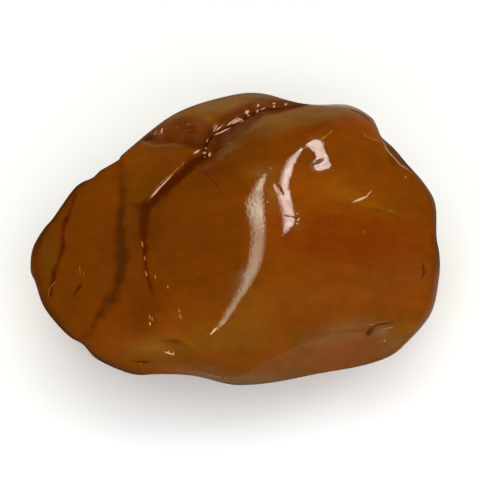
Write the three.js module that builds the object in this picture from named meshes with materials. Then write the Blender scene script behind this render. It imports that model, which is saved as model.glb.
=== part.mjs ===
// Yellow jade pebble: one polished natural stone, solid all through.
//
// Units are millimetres. X runs along the length, Y to the back and Z up. The stone rests on its flat
// underside at Z = 0 and the origin is the bottom centre of its bounding box.
//
// The form is worked out in the stone's own face frame: u along the length, v up the broad face and w
// straight out of it. The outline is a closed curve in u and v. A front rise and a back depth swell out of
// that outline. The bent broad face and worn edge facets cut the front, and mouldings, a groove and hollows
// give the finer relief. Last, the face frame leans back by FACE_TILT and the underside is ground flat.

import * as THREE from 'three';
import { mergeVertices } from 'three/addons/utils/BufferGeometryUtils.js';

// Overall form
const FACE_TILT = THREE.MathUtils.degToRad(50);
const RIM_SLOPE = 0.26;
const FRONT_RISE = 17.0;
const FRONT_FULLNESS = 4.0;
const BACK_DEPTH = 22.5;
const BACK_FULLNESS = 2.1;
const BASE_CUT = 1.6;
const OUTLINE_SOFTENING_DEG = 14;
const OUTLINE_KEPT_TO = 0.15;
const FRONT_SOFT_FROM = 0.9;
const BACK_SOFT_FROM = 0.6;
const RELIEF_FULL_FROM = 0.35;

// Faceting of the solid
const MESH_DETAIL = 20;
const FINE_SPOT = new THREE.Vector3(-0.155, 0.727, 0.669).normalize();
const FINE_PULL = 0.42;
const LINE_CATCH = 0.42;

const OUTLINE = [
  [34.2, -2.0], [34.1, -6.0], [32.6, -12.2], [28.0, -17.5], [25.0, -19.6], [20.0, -21.1], [13.0, -22.2],
  [5.0, -23.8], [-1.5, -24.1], [-8.0, -22.3], [-13.0, -22.2], [-17.2, -22.5], [-20.2, -21.8],
  [-24.6, -19.7], [-26.8, -17.3], [-29.5, -15.7], [-33.4, -11.2], [-35.1, -6.7], [-35.9, -4.7],
  [-35.6, -1.0], [-33.8, 2.3], [-32.1, 4.3], [-28.2, 9.7], [-25.2, 11.2], [-23.8, 12.5],
  [-20.6, 14.1], [-19.7, 15.5], [-11.4, 22.2], [-2.0, 25.4], [4.0, 25.8], [10.8, 23.8],
  [18.3, 23.9], [22.4, 21.9], [23.7, 19.9], [24.3, 18.3], [26.4, 16.4], [28.7, 13.7],
  [31.8, 10.1], [33.6, 6.6], [33.7, 1.0],
];

// A facet is a plane through (u, v) at a height, with its two slopes and the roundness of its edges.
const BROAD_FACE = {
  name: 'broad face',
  u: 3.0,
  v: 0.0,
  height: 15.6,
  slopeU: 0.14,
  slopeV: -0.08,
  round: 4.0,
};
const LOWER_BAND = {
  name: 'lower band',
  u: 6.0,
  v: -14.0,
  height: 16.2,
  slopeU: 0.14,
  slopeV: 0.3,
  round: 6.0,
};

// The broad face is slightly crowned up and down about CROWN_MIDDLE, and above the brow it leans back more.
const FACE_CROWN = 0.006;
const CROWN_MIDDLE = 4.0;
const BROW_V = 14.2;
const BROW_SLOPE = 0.1;
const BROW_RADIUS = 1.0;

// Bend lines run down the broad face. To the right of each the face falls away by an added slope.
const FACE_BENDS = [
  {
    name: 'shoulder of the main crest',
    slope: 0.08,
    radius: 1.6,
    line: [
      [4.5, 24.0], [4.3, 15.5], [3.0, 11.4], [1.7, 9.1], [0.7, 6.9], [1.8, 2.0], [1.6, -1.9],
      [0.3, -6.8], [-2.7, -11.8], [-5.0, -14.9], [-9.0, -19.5], [-12.5, -24.0],
    ],
  },
  {
    name: 'main crest',
    slope: 0.09,
    radius: 0.6,
    line: [
      [4.6, 24.0], [4.4, 15.5], [4.2, 11.4], [4.2, 6.0], [4.4, 0.0], [2.8, -5.6], [-0.4, -10.5],
      [-4.5, -15.9], [-8.0, -19.5], [-12.0, -24.0],
    ],
  },
  {
    name: 'left edge of the second fold',
    slope: 0.1,
    radius: 0.4,
    line: [
      [18.4, 24.0], [15.7, 19.6], [13.9, 18.3], [12.4, 17.7], [11.2, 16.9], [10.2, 16.0], [9.2, 15.1],
      [8.35, 14.4], [7.65, 13.0], [7.2, 11.6], [7.0, 10.6], [6.55, 8.6], [6.6, 7.5], [7.15, 6.1],
      [7.4, 4.0], [7.45, 2.7], [7.3, 1.0], [6.0, -5.0], [4.0, -14.0], [1.0, -24.0],
    ],
  },
  {
    name: 'right edge of the second fold',
    slope: 0.09,
    radius: 0.4,
    line: [
      [18.5, 24.0], [15.8, 19.6], [14.0, 18.3], [12.5, 17.7], [11.4, 16.9], [10.6, 15.8], [9.95, 14.6],
      [9.25, 13.0], [8.65, 11.0], [8.45, 10.2], [8.5, 9.3], [9.0, 7.0], [9.35, 5.0], [9.35, 4.0],
      [9.1, 3.0], [8.3, 2.0], [7.8, 0.9], [6.2, -5.0], [4.2, -14.0], [1.0, -24.0],
    ],
  },
];

const EDGE_FACETS = [
  { name: 'left wing', u: -19.0, v: 0.0, height: 12.3, slopeU: 0.36, slopeV: -0.08, round: 3.0 },
  { name: 'left tip', u: -29.5, v: 0.0, height: 8.6, slopeU: 0.62, slopeV: -0.05, round: 2.0 },
  { name: 'right shoulder', u: 24.0, v: 0.0, height: 12.6, slopeU: -0.5, slopeV: -0.06, round: 6.0 },
  {
    name: 'lower right',
    u: 14.0,
    v: -15.2,
    height: 10.9,
    slopeU: -0.42,
    slopeV: 0.85,
    round: 1.6,
    bend: { u: 17.0, slope: 0.24, radius: 4.0 },
  },
  { name: 'top bevel', u: 8.0, v: 19.2, height: 14.4, slopeU: -0.02, slopeV: -0.95, round: 2.6 },
  { name: 'upper left', u: -14.0, v: 16.0, height: 9.6, slopeU: 0.25, slopeV: -0.5, round: 3.0 },
  { name: 'upper wing', u: -21.0, v: 10.0, height: 9.8, slopeU: 0.5, slopeV: -0.42, round: 3.0 },
  { name: 'upper right', u: 28.0, v: 12.0, height: 8.4, slopeU: -0.62, slopeV: -0.5, round: 3.0 },
];
const BACK_FACETS = [
  { name: 'belly', u: 0.0, v: 0.0, height: 19.5, slopeU: 0.06, slopeV: 0.18, round: 8.0 },
  { name: 'belly left', u: -14.0, v: 3.0, height: 17.0, slopeU: 0.38, slopeV: -0.12, round: 6.0 },
  { name: 'belly right', u: 17.0, v: 0.0, height: 17.0, slopeU: -0.42, slopeV: 0.1, round: 6.0 },
  { name: 'back slope', u: 5.0, v: 12.0, height: 16.5, slopeU: 0.08, slopeV: -0.7, round: 5.0 },
  { name: 'under slope', u: -5.0, v: -12.0, height: 16.0, slopeU: 0.03, slopeV: 0.62, round: 6.0 },
];

// Long, low waves that keep the back from looking turned: height, length along u and v, and phase.
const BACK_WAVES = [
  { height: 0.45, alongU: 0.23, alongV: 0.11, phase: 0.6 },
  { height: 0.35, alongU: -0.14, alongV: 0.31, phase: 2.1 },
  { height: 0.25, alongU: 0.37, alongV: -0.24, phase: 4.0 },
];

// A moulding carries a cross-section along a line. OFFSETS are places across the line, positive to the left
// of its travel. Each station holds a share of the length and the section's height at every offset.

// The open fracture, from the top edge of the stone down to the ledge.
const FRACTURE = {
  line: [
    [12.5, 24.2], [10.6, 23.7], [8.0, 23.2], [6.0, 22.9], [3.7, 22.9], [2.3, 22.1], [1.1, 21.6],
    [-0.6, 20.7], [-2.3, 19.6], [-4.3, 18.6], [-5.6, 17.4], [-5.9, 16.3], [-6.3, 15.4],
  ],
  offsets: [-3.2, -1.5, -0.35, 0.0, 0.35, 1.2, 2.6, 4.0],
  stations: [
    [0.0, [0.0, 0.0, 0.0, 0.0, 0.0, 0.0, 0.0, 0.0]],
    [0.12, [0.0, 0.0, -0.3, -0.8, -0.1, 0.0, 0.0, 0.0]],
    [0.35, [0.0, -0.3, -0.9, -1.5, -0.5, -0.1, 0.0, 0.0]],
    [0.55, [0.0, -0.8, -1.5, -2.2, -1.1, -0.5, 0.0, 0.0]],
    [0.75, [-0.2, -1.1, -1.8, -2.5, -1.6, -1.1, -0.4, 0.0]],
    [0.9, [0.0, -0.7, -1.5, -2.3, -1.7, -1.3, -0.7, 0.0]],
    [1.0, [0.0, -0.4, -0.9, -1.4, -0.9, -0.5, 0.0, 0.0]],
  ],
};

// The ledge carries the fracture on down the face. The stone stands higher on its upper left side, and a
// groove runs along its foot.
const LEDGE = {
  line: [
    [-6.3, 15.4], [-8.0, 14.7], [-9.3, 13.6], [-10.8, 12.2], [-12.3, 11.0], [-13.7, 9.6], [-15.2, 7.7],
    [-16.2, 6.2],
  ],
  offsets: [-6.0, -2.0, -0.4, 0.0, 0.35, 1.2, 4.5],
  stations: [
    [0.0, [0.0, 0.0, -0.5, -1.1, -1.2, -0.8, 0.0]],
    [0.25, [0.1, 0.2, 0.15, -0.25, -0.75, -0.6, 0.0]],
    [0.45, [0.15, 0.3, 0.35, 0.1, -0.55, -0.5, 0.0]],
    [0.7, [0.15, 0.3, 0.37, 0.12, -0.45, -0.4, 0.0]],
    [0.85, [0.1, 0.15, 0.2, 0.1, -0.25, -0.2, 0.0]],
    [1.0, [0.0, 0.0, 0.0, 0.0, 0.0, 0.0, 0.0]],
  ],
};

// The step at the upper right edge, where a corner of the stone is missing.
const NOTCH = {
  line: [
    [23.9, 18.9], [24.5, 17.6], [25.2, 16.0], [26.4, 14.6], [27.5, 13.4], [28.8, 12.6], [30.0, 11.6],
  ],
  offsets: [-2.0, -0.5, -0.15, 0.2, 1.5],
  stations: [
    [0.0, [0.0, 0.0, 0.0, 0.0, 0.0]],
    [0.2, [0.0, 0.05, 0.1, -0.8, -0.9]],
    [0.8, [0.0, 0.05, 0.1, -0.8, -0.9]],
    [1.0, [0.0, 0.0, 0.0, 0.0, 0.0]],
  ],
};

// The seam is the fine groove under the ledge.
const SEAM = [[-16.0, 6.4], [-16.3, 4.0], [-16.3, 0.0], [-15.8, -5.0], [-15.0, -8.0], [-14.0, -10.5]];
const SEAM_DEPTH = 0.05;
const SEAM_HALF_WIDTH = 0.4;
const SEAM_FADE = 0.3;

// Hollows: a closed edge, the signed distances inside it between which the floor falls away, and the depth
// at middleV, which gets less by lean for each millimetre up the face.
const HOLLOWS = [
  {
    name: 'recess above the ledge',
    depth: 1.1,
    rise: [-0.4, 0.7],
    middleV: 18.8,
    lean: 0.33,
    edge: [
      [-16.8, 17.7], [-14.0, 16.9], [-11.2, 17.0], [-7.2, 16.2], [-5.6, 17.4], [-5.0, 20.0],
      [-7.0, 21.5], [-11.0, 21.4], [-14.5, 20.2],
    ],
  },
  {
    name: 'lens at the lower left',
    depth: 0.25,
    rise: [-1.6, 2.4],
    middleV: 0.0,
    lean: 0.0,
    edge: [[-19.0, -17.3], [-16.0, -16.2], [-12.0, -16.2], [-8.5, -18.6], [-13.0, -20.2], [-18.5, -19.4]],
  },
  {
    name: 'pit at the lower right',
    depth: 0.5,
    rise: [-0.3, 0.7],
    middleV: 0.0,
    lean: 0.0,
    edge: [[21.6, -15.3], [22.4, -14.2], [25.6, -13.7], [26.2, -14.3], [24.4, -14.9]],
  },
];

const JADE_COLOUR = new THREE.Color().setRGB(0.51, 0.27, 0.04, THREE.SRGBColorSpace);
const JADE_ROUGHNESS = 0.12;

const CURVE_STEPS = 6;
const RING_STEPS = 720;

// Eased step from 0 at a to 1 at b; a may be the larger.
function ease(a, b, x) {
  const t = THREE.MathUtils.clamp((x - a) / (b - a), 0, 1);
  return t * t * (3 - 2 * t);
}

function interpolate(shares, values, x) {
  let i = 0;
  while (i < shares.length - 2 && x > shares[i + 1]) {
    i += 1;
  }
  const t = THREE.MathUtils.clamp((x - shares[i]) / (shares[i + 1] - shares[i]), 0, 1);
  return values[i] + t * (values[i + 1] - values[i]);
}

// The lower of two heights, with the edge between them rounded off.
function softLower(a, b, round) {
  const h = Math.max(round - Math.abs(a - b), 0) / round;
  return Math.min(a, b) - (h * h * h * round) / 6;
}

// A curve through its points: Catmull-Rom spans cut into short straight pieces.
class Curve {
  constructor(points, closed = false) {
    this.closed = closed;
    this.line = this.sample(points);
    this.lengths = [0];
    for (let i = 1; i < this.line.length; i += 1) {
      this.lengths.push(this.lengths[i - 1] + this.line[i].distanceTo(this.line[i - 1]));
    }
    this.total = this.lengths[this.lengths.length - 1];
  }

  sample(points) {
    const n = points.length;
    const at = (i) => {
      const k = this.closed ? (i + n) % n : THREE.MathUtils.clamp(i, 0, n - 1);
      return points[k];
    };
    const line = [];
    const spans = this.closed ? n : n - 1;
    for (let i = 0; i < spans; i += 1) {
      for (let step = 0; step < CURVE_STEPS; step += 1) {
        const t = step / CURVE_STEPS;
        line.push(new THREE.Vector2(
          this.blend(at(i - 1)[0], at(i)[0], at(i + 1)[0], at(i + 2)[0], t),
          this.blend(at(i - 1)[1], at(i)[1], at(i + 1)[1], at(i + 2)[1], t),
        ));
      }
    }
    line.push(new THREE.Vector2(at(spans)[0], at(spans)[1]));
    return line;
  }

  blend(a, b, c, d, t) {
    const linear = (c - a) * t;
    const square = (2 * a - 5 * b + 4 * c - d) * t * t;
    const cube = (3 * b - a - 3 * c + d) * t * t * t;
    return 0.5 * (2 * b + linear + square + cube);
  }

  // Distance to the curve, the same with a sign (left of travel is positive), the share of the length and
  // the closest point.
  near(u, v) {
    let distance = Infinity;
    let side = 1;
    let along = 0;
    const closest = new THREE.Vector2();
    for (let i = 1; i < this.line.length; i += 1) {
      const a = this.line[i - 1];
      const b = this.line[i];
      const du = b.x - a.x;
      const dv = b.y - a.y;
      const length = this.lengths[i] - this.lengths[i - 1];
      const reach = ((u - a.x) * du + (v - a.y) * dv) / (length * length);
      const t = THREE.MathUtils.clamp(reach, 0, 1);
      const gap = Math.hypot(u - a.x - t * du, v - a.y - t * dv);
      if (gap < distance) {
        distance = gap;
        closest.set(a.x + t * du, a.y + t * dv);
        side = du * (v - a.y) - dv * (u - a.x) < 0 ? -1 : 1;
        along = (this.lengths[i - 1] + t * length) / this.total;
      }
    }
    return { distance, signed: side * distance, along, closest };
  }

  // Signed distance to a closed curve, positive inside.
  inside(u, v) {
    let within = false;
    for (let i = 1; i < this.line.length; i += 1) {
      const a = this.line[i - 1];
      const b = this.line[i];
      const crosses = a.y > v !== b.y > v;
      if (crosses && u < ((b.x - a.x) * (v - a.y)) / (b.y - a.y) + a.x) {
        within = !within;
      }
    }
    const { distance } = this.near(u, v);
    return within ? distance : -distance;
  }

  // u of the curve at a given v, for a curve that runs steadily downward.
  crossing(v) {
    let i = 1;
    while (i < this.line.length - 1 && v < this.line[i].y) {
      i += 1;
    }
    const a = this.line[i - 1];
    const b = this.line[i];
    const t = THREE.MathUtils.clamp((v - a.y) / (b.y - a.y), 0, 1);
    return a.x + t * (b.x - a.x);
  }
}

// The outline as a radius for each direction round the stone, sharp at the edge and softened away from it.
class Rim {
  constructor(points) {
    const { line } = new Curve(points, true);
    const turns = line.map((p) => [(Math.atan2(p.y, p.x) + 2 * Math.PI) % (2 * Math.PI), p.length()]);
    turns.sort((a, b) => a[0] - b[0]);
    this.sharp = this.table(turns);
    this.soft = this.soften(this.sharp);
  }

  table(turns) {
    const n = turns.length;
    const first = [turns[0][0] + 2 * Math.PI, turns[0][1]];
    const last = [turns[n - 1][0] - 2 * Math.PI, turns[n - 1][1]];
    const ring = [last, ...turns, first];
    const angles = ring.map((t) => t[0]);
    const radii = ring.map((t) => t[1]);
    const table = [];
    for (let i = 0; i < RING_STEPS; i += 1) {
      table.push(interpolate(angles, radii, (i * 2 * Math.PI) / RING_STEPS));
    }
    return table;
  }

  soften(table) {
    const spread = (OUTLINE_SOFTENING_DEG * RING_STEPS) / 360;
    const reach = Math.round(3 * spread);
    return table.map((_, i) => {
      let sum = 0;
      let weight = 0;
      for (let k = -reach; k <= reach; k += 1) {
        const w = Math.exp(-0.5 * (k / spread) ** 2);
        sum += w * table[(i + k + RING_STEPS) % RING_STEPS];
        weight += w;
      }
      return sum / weight;
    });
  }

  read(table, angle) {
    const place = ((angle / (2 * Math.PI)) * RING_STEPS + RING_STEPS) % RING_STEPS;
    const i = Math.floor(place) % RING_STEPS;
    const t = place - Math.floor(place);
    return table[i] + t * (table[(i + 1) % RING_STEPS] - table[i]);
  }

  radius(angle, softness) {
    const soft = this.read(this.soft, angle);
    const sharp = this.read(this.sharp, angle);
    return sharp + softness * (soft - sharp);
  }
}

const rim = new Rim(OUTLINE);
const bends = FACE_BENDS.map((bend) => ({ ...bend, curve: new Curve(bend.line) }));
const fracture = { ...FRACTURE, curve: new Curve(FRACTURE.line) };
const ledge = { ...LEDGE, curve: new Curve(LEDGE.line) };
const notch = { ...NOTCH, curve: new Curve(NOTCH.line) };
const seam = new Curve(SEAM);
const hollows = HOLLOWS.map((hollow) => ({ ...hollow, curve: new Curve(hollow.edge, true) }));

// How far a bend past t = 0 has turned the stone, with the bend rounded over the radius.
function bendRise(t, slope, radius) {
  return 0.5 * slope * (t + Math.sqrt(t * t + radius * radius));
}

function facetLevel(facet, u, v) {
  const plane = facet.height + facet.slopeU * (u - facet.u) + facet.slopeV * (v - facet.v);
  if (!facet.bend) {
    return plane;
  }
  return plane + bendRise(u - facet.bend.u, facet.bend.slope, facet.bend.radius);
}

function bentFace(u, v) {
  const crown = 0.5 * FACE_CROWN * (v - CROWN_MIDDLE) ** 2;
  const brow = bendRise(v - BROW_V, BROW_SLOPE, BROW_RADIUS);
  const face = facetLevel(BROAD_FACE, u, v) - crown - brow;
  let height = softLower(face, facetLevel(LOWER_BAND, u, v), LOWER_BAND.round);
  for (const bend of bends) {
    height -= bendRise(u - bend.curve.crossing(v), bend.slope, bend.radius);
  }
  return height;
}

// Height of a moulding's section at a signed distance from its line, carried between its stations.
function mouldingRelief(moulding, u, v) {
  const { signed, along } = moulding.curve.near(u, v);
  const shares = moulding.stations.map((station) => station[0]);
  const heights = moulding.stations.map((station) => interpolate(moulding.offsets, station[1], signed));
  return interpolate(shares, heights, along);
}

function seamRelief(u, v) {
  const { distance, along } = seam.near(u, v);
  const ends = ease(0, SEAM_FADE, along) * ease(1, 1 - SEAM_FADE, along);
  return -SEAM_DEPTH * Math.exp(-((distance / SEAM_HALF_WIDTH) ** 2)) * ends;
}

function hollowRelief(u, v) {
  let height = 0;
  for (const hollow of hollows) {
    const depth = Math.max(hollow.depth - hollow.lean * (v - hollow.middleV), 0);
    height -= depth * ease(hollow.rise[0], hollow.rise[1], hollow.curve.inside(u, v));
  }
  return height;
}

function cutByFacets(height, facets, u, v) {
  let cut = height;
  for (const facet of facets) {
    cut = softLower(cut, facetLevel(facet, u, v), facet.round);
  }
  return Math.max(cut, 0);
}

function frontHeight(u, v, dome) {
  const face = softLower(FRONT_RISE * dome, bentFace(u, v), BROAD_FACE.round);
  const relief = mouldingRelief(fracture, u, v) + mouldingRelief(ledge, u, v)
    + mouldingRelief(notch, u, v) + seamRelief(u, v) + hollowRelief(u, v);
  return cutByFacets(face, EDGE_FACETS, u, v) + relief * ease(0, RELIEF_FULL_FROM, dome);
}

function backHeight(u, v, dome) {
  let height = cutByFacets(BACK_DEPTH * dome, BACK_FACETS, u, v);
  for (const wave of BACK_WAVES) {
    height += wave.height * Math.sin(wave.alongU * u + wave.alongV * v + wave.phase) * ease(0, 0.5, dome);
  }
  return height;
}

// Moves a place on the front that lies very near a line of the relief onto that line, so that the line
// shows as a clean edge.
function catchLines(place) {
  for (const line of [fracture.curve, ledge.curve]) {
    const { distance, closest } = line.near(place.x, place.y);
    if (distance < LINE_CATCH) {
      place.copy(closest);
    }
  }
  return place;
}

// The surface point for a direction from the middle of the stone, in the face frame.
function surfacePoint(direction) {
  const isFront = direction.z >= 0;
  const share = Math.min(Math.hypot(direction.x, direction.y), 1);
  const angle = Math.atan2(direction.y, direction.x);
  const fullness = isFront ? FRONT_FULLNESS : BACK_FULLNESS;
  const dome = Math.max(1 - share ** fullness, 0) ** (1 / fullness);
  const softFrom = isFront ? FRONT_SOFT_FROM : BACK_SOFT_FROM;
  const radius = share * rim.radius(angle, ease(OUTLINE_KEPT_TO, softFrom, dome));
  const place = new THREE.Vector2(radius * Math.cos(angle), radius * Math.sin(angle));
  if (isFront) {
    catchLines(place);
  }
  const out = isFront ? frontHeight(place.x, place.y, dome) : -backHeight(place.x, place.y, dome);
  return new THREE.Vector3(place.x, place.y, out - RIM_SLOPE * place.y);
}

function leanBack(point) {
  const sin = Math.sin(FACE_TILT);
  const cos = Math.cos(FACE_TILT);
  return point.set(point.x, point.y * sin - point.z * cos, point.y * cos + point.z * sin);
}

// Draws directions in toward the fracture, so that the facets are finest there.
function gather(direction) {
  const angle = direction.angleTo(FINE_SPOT);
  if (angle < 1e-6 || angle > Math.PI - 1e-6) {
    return direction;
  }
  const across = direction.clone().addScaledVector(FINE_SPOT, -direction.dot(FINE_SPOT)).normalize();
  const turned = angle - FINE_PULL * Math.sin(angle);
  const along = FINE_SPOT.clone().multiplyScalar(Math.cos(turned));
  return along.addScaledVector(across, Math.sin(turned));
}

function unitSphere() {
  const ball = new THREE.IcosahedronGeometry(1, MESH_DETAIL);
  ball.deleteAttribute('normal');
  ball.deleteAttribute('uv');
  return mergeVertices(ball, 1e-5);
}

function pebbleGeometry() {
  const geometry = unitSphere();
  const position = geometry.getAttribute('position');
  const point = new THREE.Vector3();
  let lowest = Infinity;
  for (let i = 0; i < position.count; i += 1) {
    point.fromBufferAttribute(position, i).normalize();
    const placed = leanBack(surfacePoint(gather(point)));
    position.setXYZ(i, placed.x, placed.y, placed.z);
    lowest = Math.min(lowest, placed.z);
  }
  for (let i = 0; i < position.count; i += 1) {
    position.setZ(i, Math.max(position.getZ(i) - lowest - BASE_CUT, 0));
  }
  geometry.computeBoundingBox();
  const centre = geometry.boundingBox.getCenter(new THREE.Vector3());
  geometry.translate(-centre.x, -centre.y, 0);
  geometry.computeVertexNormals();
  return geometry;
}

function buildPebble() {
  const jade = new THREE.MeshStandardMaterial({
    color: JADE_COLOUR,
    roughness: JADE_ROUGHNESS,
    metalness: 0,
  });
  jade.name = 'jade';
  const mesh = new THREE.Mesh(pebbleGeometry(), jade);
  mesh.name = 'pebble';
  return mesh;
}

const pebble = new THREE.Group();
pebble.name = 'yellow_jade_pebble';
pebble.add(buildPebble());

export default pebble;
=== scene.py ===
"""Visual model of a yellow jade pebble: one polished natural stone on a pale floor.

The stone's form is worked out in its own face frame, in millimetres: u along the length, v up the broad
face and w straight out of it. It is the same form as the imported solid's, with the fine relief added, and it
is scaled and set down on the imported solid's box.
"""

import logging
import math
from dataclasses import dataclass, field
from enum import Enum
from typing import Protocol, Sequence

import bpy
import numpy as np
from mathutils import Matrix, Vector


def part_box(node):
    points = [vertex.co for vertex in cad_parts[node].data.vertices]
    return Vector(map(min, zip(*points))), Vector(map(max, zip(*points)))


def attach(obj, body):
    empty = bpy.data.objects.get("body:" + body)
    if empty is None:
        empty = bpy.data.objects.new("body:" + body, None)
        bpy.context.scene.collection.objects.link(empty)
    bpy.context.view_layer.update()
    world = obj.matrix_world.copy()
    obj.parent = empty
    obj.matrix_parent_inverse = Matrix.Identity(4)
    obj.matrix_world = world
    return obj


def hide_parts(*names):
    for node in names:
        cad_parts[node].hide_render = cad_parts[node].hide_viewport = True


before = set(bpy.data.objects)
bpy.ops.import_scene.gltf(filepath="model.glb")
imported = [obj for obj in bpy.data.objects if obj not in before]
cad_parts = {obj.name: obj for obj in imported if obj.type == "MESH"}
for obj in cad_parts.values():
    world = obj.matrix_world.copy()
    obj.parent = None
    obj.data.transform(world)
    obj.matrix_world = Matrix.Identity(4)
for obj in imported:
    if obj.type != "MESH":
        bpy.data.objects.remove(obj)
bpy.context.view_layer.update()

LOG = logging.getLogger("pebble")

Array = np.ndarray
Point = tuple[float, float]
Colour = tuple[float, float, float]
Socket = bpy.types.NodeSocket

NODE = "pebble"
BODY = "root"
MM = 0.001

# Overall form, millimetres and degrees
FACE_TILT_DEG = 50.0
RIM_SLOPE = 0.26
FRONT_RISE = 17.0
FRONT_FULLNESS = 4.0
BACK_DEPTH = 22.5
BACK_FULLNESS = 2.1
BASE_CUT = 1.6
OUTLINE_SOFTENING_DEG = 14.0
OUTLINE_KEPT_TO = 0.15
FRONT_SOFT_FROM = 0.9
BACK_SOFT_FROM = 0.6
RELIEF_FULL_FROM = 0.35
FACE_CROWN = 0.006
CROWN_MIDDLE = 4.0
BROW_V = 14.2
BROW_SLOPE = 0.1
BROW_RADIUS = 1.0
WAVES_FULL_FROM = 0.5

# Mesh
CUBE_CELLS = 128
FINE_SPOT = (-0.06, 0.66, 0.75)
FINE_PULL = 0.6
CURVE_STEPS = 6
RING_STEPS = 720
FULL_TURN = 2 * math.pi
TURN_DEG = 360.0
LATTICE_WIDTH = 140.0
LATTICE_MARGIN = 4
WELD_DIGITS = 6
TINY = 1e-9

# The view, and what it shows: an 82.4 mm wide field, a little off the middle of the face frame.
VIEW_DISTANCE = 1.0
VIEW_WIDTH = 82.4
VIEW_OFFSET = (-0.09, 0.6)
SENSOR_WIDTH = 36.0

OUTLINE: tuple[Point, ...] = (
    (34.2, -2), (34.1, -6), (32.6, -12.2), (28, -17.5), (25, -19.6), (20, -21.1), (13, -22.2), (5, -23.8),
    (-1.5, -24.1), (-8, -22.3), (-13, -22.2), (-17.2, -22.5), (-20.2, -21.8), (-24.6, -19.7),
    (-26.8, -17.3), (-29.5, -15.7), (-33.4, -11.2), (-35.1, -6.7), (-35.9, -4.7), (-35.6, -1), (-33.8, 2.3),
    (-32.1, 4.3), (-28.2, 9.7), (-25.2, 11.2), (-23.8, 12.5), (-20.6, 14.1), (-19.7, 15.5), (-11.4, 22.2),
    (-2, 25.4), (4, 25.8), (10.8, 23.8), (18.3, 23.9), (22.4, 21.9), (23.7, 19.9), (24.3, 18.3),
    (26.4, 16.4), (28.7, 13.7), (31.8, 10.1), (33.6, 6.6), (33.7, 1),
)


def ease(start: float, end: float, x: Array) -> Array:
    """Eased step of x from 0 at start to 1 at end; start may be the larger."""
    t = np.clip((x - start) / (end - start), 0.0, 1.0)
    return t * t * (3.0 - 2.0 * t)


def through_points(x: Array, points: Sequence[Point]) -> Array:
    """A value led straight from point to point."""
    return np.interp(x, *zip(*points))


def soft_lower(a: Array, b: Array, rounding: float) -> Array:
    """The lower of two heights, with the edge between them rounded off."""
    h = np.maximum(rounding - np.abs(a - b), 0.0) / rounding
    return np.minimum(a, b) - h ** 3 * rounding / 6.0


class Side(Enum):
    """The two sides that the outline divides the stone into."""

    FRONT = "front"
    BACK = "back"


@dataclass(frozen=True)
class Nearness:
    """How places lie to a curve.

    Args:
        distance: distance to the curve.
        signed: the same with a sign, positive to the left of its travel.
        along: share of the curve's length at the closest point.
    """

    distance: Array
    signed: Array
    along: Array


@dataclass
class Curve:
    """A smooth curve through its points, cut into short straight pieces.

    Args:
        points: the points it passes through.
        closed: whether it returns to its start.
    """

    points: Sequence[Point]
    closed: bool = False
    line: Array = field(init=False)
    lengths: Array = field(init=False)

    def __post_init__(self) -> None:
        """Samples the curve."""
        points = np.asarray(self.points, float)
        count = len(points)
        index = np.arange(count if self.closed else count - 1)[:, None] + np.arange(-1, 3)
        index = index % count if self.closed else np.clip(index, 0, count - 1)
        a, b, c, d = (points[index[:, k]][:, None, :] for k in range(4))
        t = (np.arange(CURVE_STEPS) / CURVE_STEPS)[None, :, None]
        bent = (c - a) * t + (2 * a - 5 * b + 4 * c - d) * t ** 2 + (3 * b - a - 3 * c + d) * t ** 3
        line = (0.5 * (2 * b + bent)).reshape(-1, 2)
        end = points[0] if self.closed else points[-1]
        self.line = np.vstack([line, end])
        steps = np.hypot(*np.diff(self.line, axis=0).T)
        self.lengths = np.concatenate([[0.0], np.cumsum(steps)])

    def near(self, u: Array, v: Array) -> Nearness:
        """Finds how places lie to the curve.

        Args:
            u: places along the length.
            v: places up the face.

        Returns:
            One of each measure per place.
        """
        best = np.full(u.shape, np.inf)
        side = np.ones(u.shape)
        along = np.zeros(u.shape)
        for i in range(len(self.line) - 1):
            (au, av), (bu, bv) = self.line[i], self.line[i + 1]
            du, dv = bu - au, bv - av
            length = self.lengths[i + 1] - self.lengths[i]
            t = np.clip(((u - au) * du + (v - av) * dv) / length ** 2, 0.0, 1.0)
            gap = np.hypot(u - au - t * du, v - av - t * dv)
            closer = gap < best
            best = np.where(closer, gap, best)
            side = np.where(closer, np.where(du * (v - av) - dv * (u - au) < 0, -1.0, 1.0), side)
            along = np.where(closer, (self.lengths[i] + t * length) / self.lengths[-1], along)
        return Nearness(best, side * best, along)

    def inside(self, u: Array, v: Array) -> Array:
        """Signed distance to a closed curve, positive inside.

        Args:
            u: places along the length.
            v: places up the face.

        Returns:
            One distance per place.
        """
        within = np.zeros(u.shape, bool)
        for (au, av), (bu, bv) in zip(self.line[:-1], self.line[1:]):
            if av == bv:
                continue
            crosses = (av > v) != (bv > v)
            within ^= crosses & (u < (bu - au) * (v - av) / (bv - av) + au)
        distance = self.near(u, v).distance
        return np.where(within, distance, -distance)

    def crossing(self, v: Array) -> Array:
        """u of the curve at each v, for a curve that runs steadily downward."""
        return np.interp(v, self.line[::-1, 1], self.line[::-1, 0])


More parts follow.
